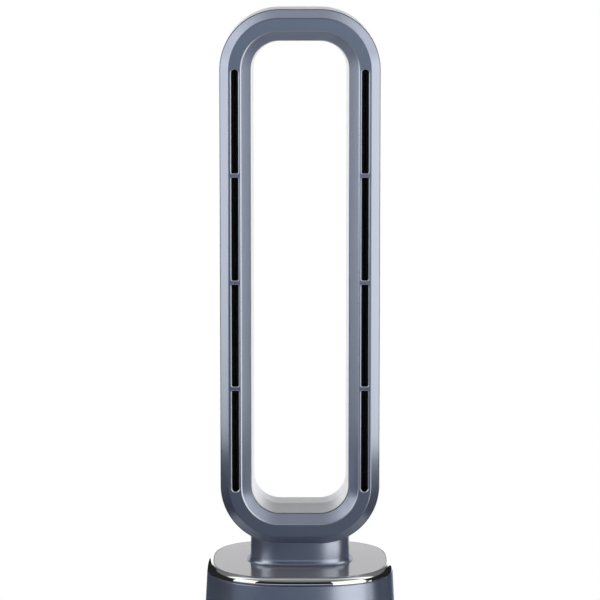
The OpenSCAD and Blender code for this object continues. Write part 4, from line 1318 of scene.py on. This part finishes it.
def fit_screws(name, body, node, seats, way, length, shank=1.45, scale=(1, 1, 1)):
    """Puts a screw on each seat, its head towards the way that it faces."""
    piece = grow_piece(name, screw_tree, seats, {
        "Head": pan_head, "Shank radius": shank * MM, "Shank length": length * MM,
        "Head scale": scale, "Seed": len(name), "Finish": plated_steel},
        facing=[way] * len(seats))
    wear(piece, body, "plated_steel", plated_steel, node)
    return len(seats)


BACK, UP, DOWN = (0, 1, 0), (0, 0, 1), (0, 0, -1)
fitted = [
    fit_screws("shell_screws", "body", "loop_screws", [(x, -15.9, z) for x, z in POSTS], BACK,
               16.1, scale=(1, 1, 1.26)),
    fit_screws("base_screws", "body", "floor_screws", ring_of_seats(4, 112, 45, 15.9), DOWN, 15.1),
    fit_screws("flange_screws", "body", "deck_screws", ring_of_seats(4, 108, 45, 287), UP, 6.5),
    fit_screws("housing_screws", "body", "blower_screws", ring_of_seats(4, 77, 45, 257.9), DOWN,
               24.1),
    fit_screws("foot_screws", "foot", "post_screws", ring_of_seats(3, 30, 90, 2.5), DOWN, 12.3,
               1.6, (1.11, 1.11, 1)),
    fit_screws("plate_screws", "foot", "retainer_screws", ring_of_seats(3, 17, 30, 39), UP, 9),
]
bpy.data.objects.remove(pan_head)
print("screws", sum(fitted))

# %% [markdown]
# ## Rubber feet
#
# Six soft pads keep the fan from sliding. A tree lays a circle with one point for each pad and
# copies the pad to it, so the count and the radius are plain numbers.

# %% Feet
PADS, PAD_REACH, FIRST_PAD = 6, 102, 30
soft_pad = lathe("soft_pad", [(0, 0.35), (4.8, 0.35), (5.4, 0), (8.2, 0), (9, 0.7), (9, 2.5),
                              (0, 2.5)], 36)
pad_tree, ins = new_tree("pads_on_circle", [
    ("Pad", "Object", None), ("Count", "Int", PADS), ("Radius", "Float", PAD_REACH * MM),
    ("First", "Vector", (0, 0, 0))])
node = partial(add, pad_tree)
circle = node("GeometryNodeMeshCircle", {"Vertices": ins["Count"], "Radius": ins["Radius"]})
circle = node("GeometryNodeTransform", {"Geometry": circle, "Rotation": ins["First"]})
pad = node("GeometryNodeObjectInfo", {"Object": ins["Pad"]})
pads = node("GeometryNodeInstanceOnPoints", {"Points": circle, "Instance": pad["Geometry"]})
end_tree(pad_tree, ins, pads)
foot_pads = grow_piece("foot_pads", pad_tree, [(0, 0, 0)], {
    "Pad": soft_pad, "First": (0, 0, math.radians(FIRST_PAD)), "Finish": black_rubber})
bpy.data.objects.remove(soft_pad)
wear(foot_pads, "foot", "black_rubber", black_rubber, "rubber_feet")
print("pads span", [round(c / MM, 1) for c in foot_pads.dimensions])

# %% [markdown]
# ## The remaining solids
#
# The parts inside, and the black guides behind the slots, have the right shape already. They keep
# their CAD meshes and get a finish through their material slots.

# %% Dress the solids
SOLID_FINISH = {
    dark_plastic: ["foot_plate", "body_floor", "deck"],
    black_rubber: ["cord_grommet", "loop_gasket", "blower_isolators"],
    cast_iron: ["ballast_plate"],
    white_nylon: ["swivel_post", "slide_ring", "fixed_gear", "blower_housing", "inlet_bell",
                  "motor_bucket", "motor_cap", "motor_endcap"],
    plated_steel: ["retaining_plate", "swivel_motor", "motor_stator", "lower_bearing",
                   "upper_bearing", "rotor_shaft"],
    black_plastic: ["left_air_guide", "right_air_guide", "left_outer_rail", "left_inner_rail",
                    "right_inner_rail", "right_outer_rail", "flow_divider", "neck_duct"],
    board_green: ["control_board", "power_board"],
    brass: ["swivel_pinion", "impeller_nut"],
    copper_wire: ["stator_windings"],
    magnet_iron: ["rotor_magnet"],
    impeller_plastic: ["impeller"],
    foam: ["intake_filter"],
}
for finish, names in SOLID_FINISH.items():
    for name in names:
        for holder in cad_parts[name].material_slots:
            holder.material = finish
print("dressed", sum(len(names) for names in SOLID_FINISH.values()), "solids")
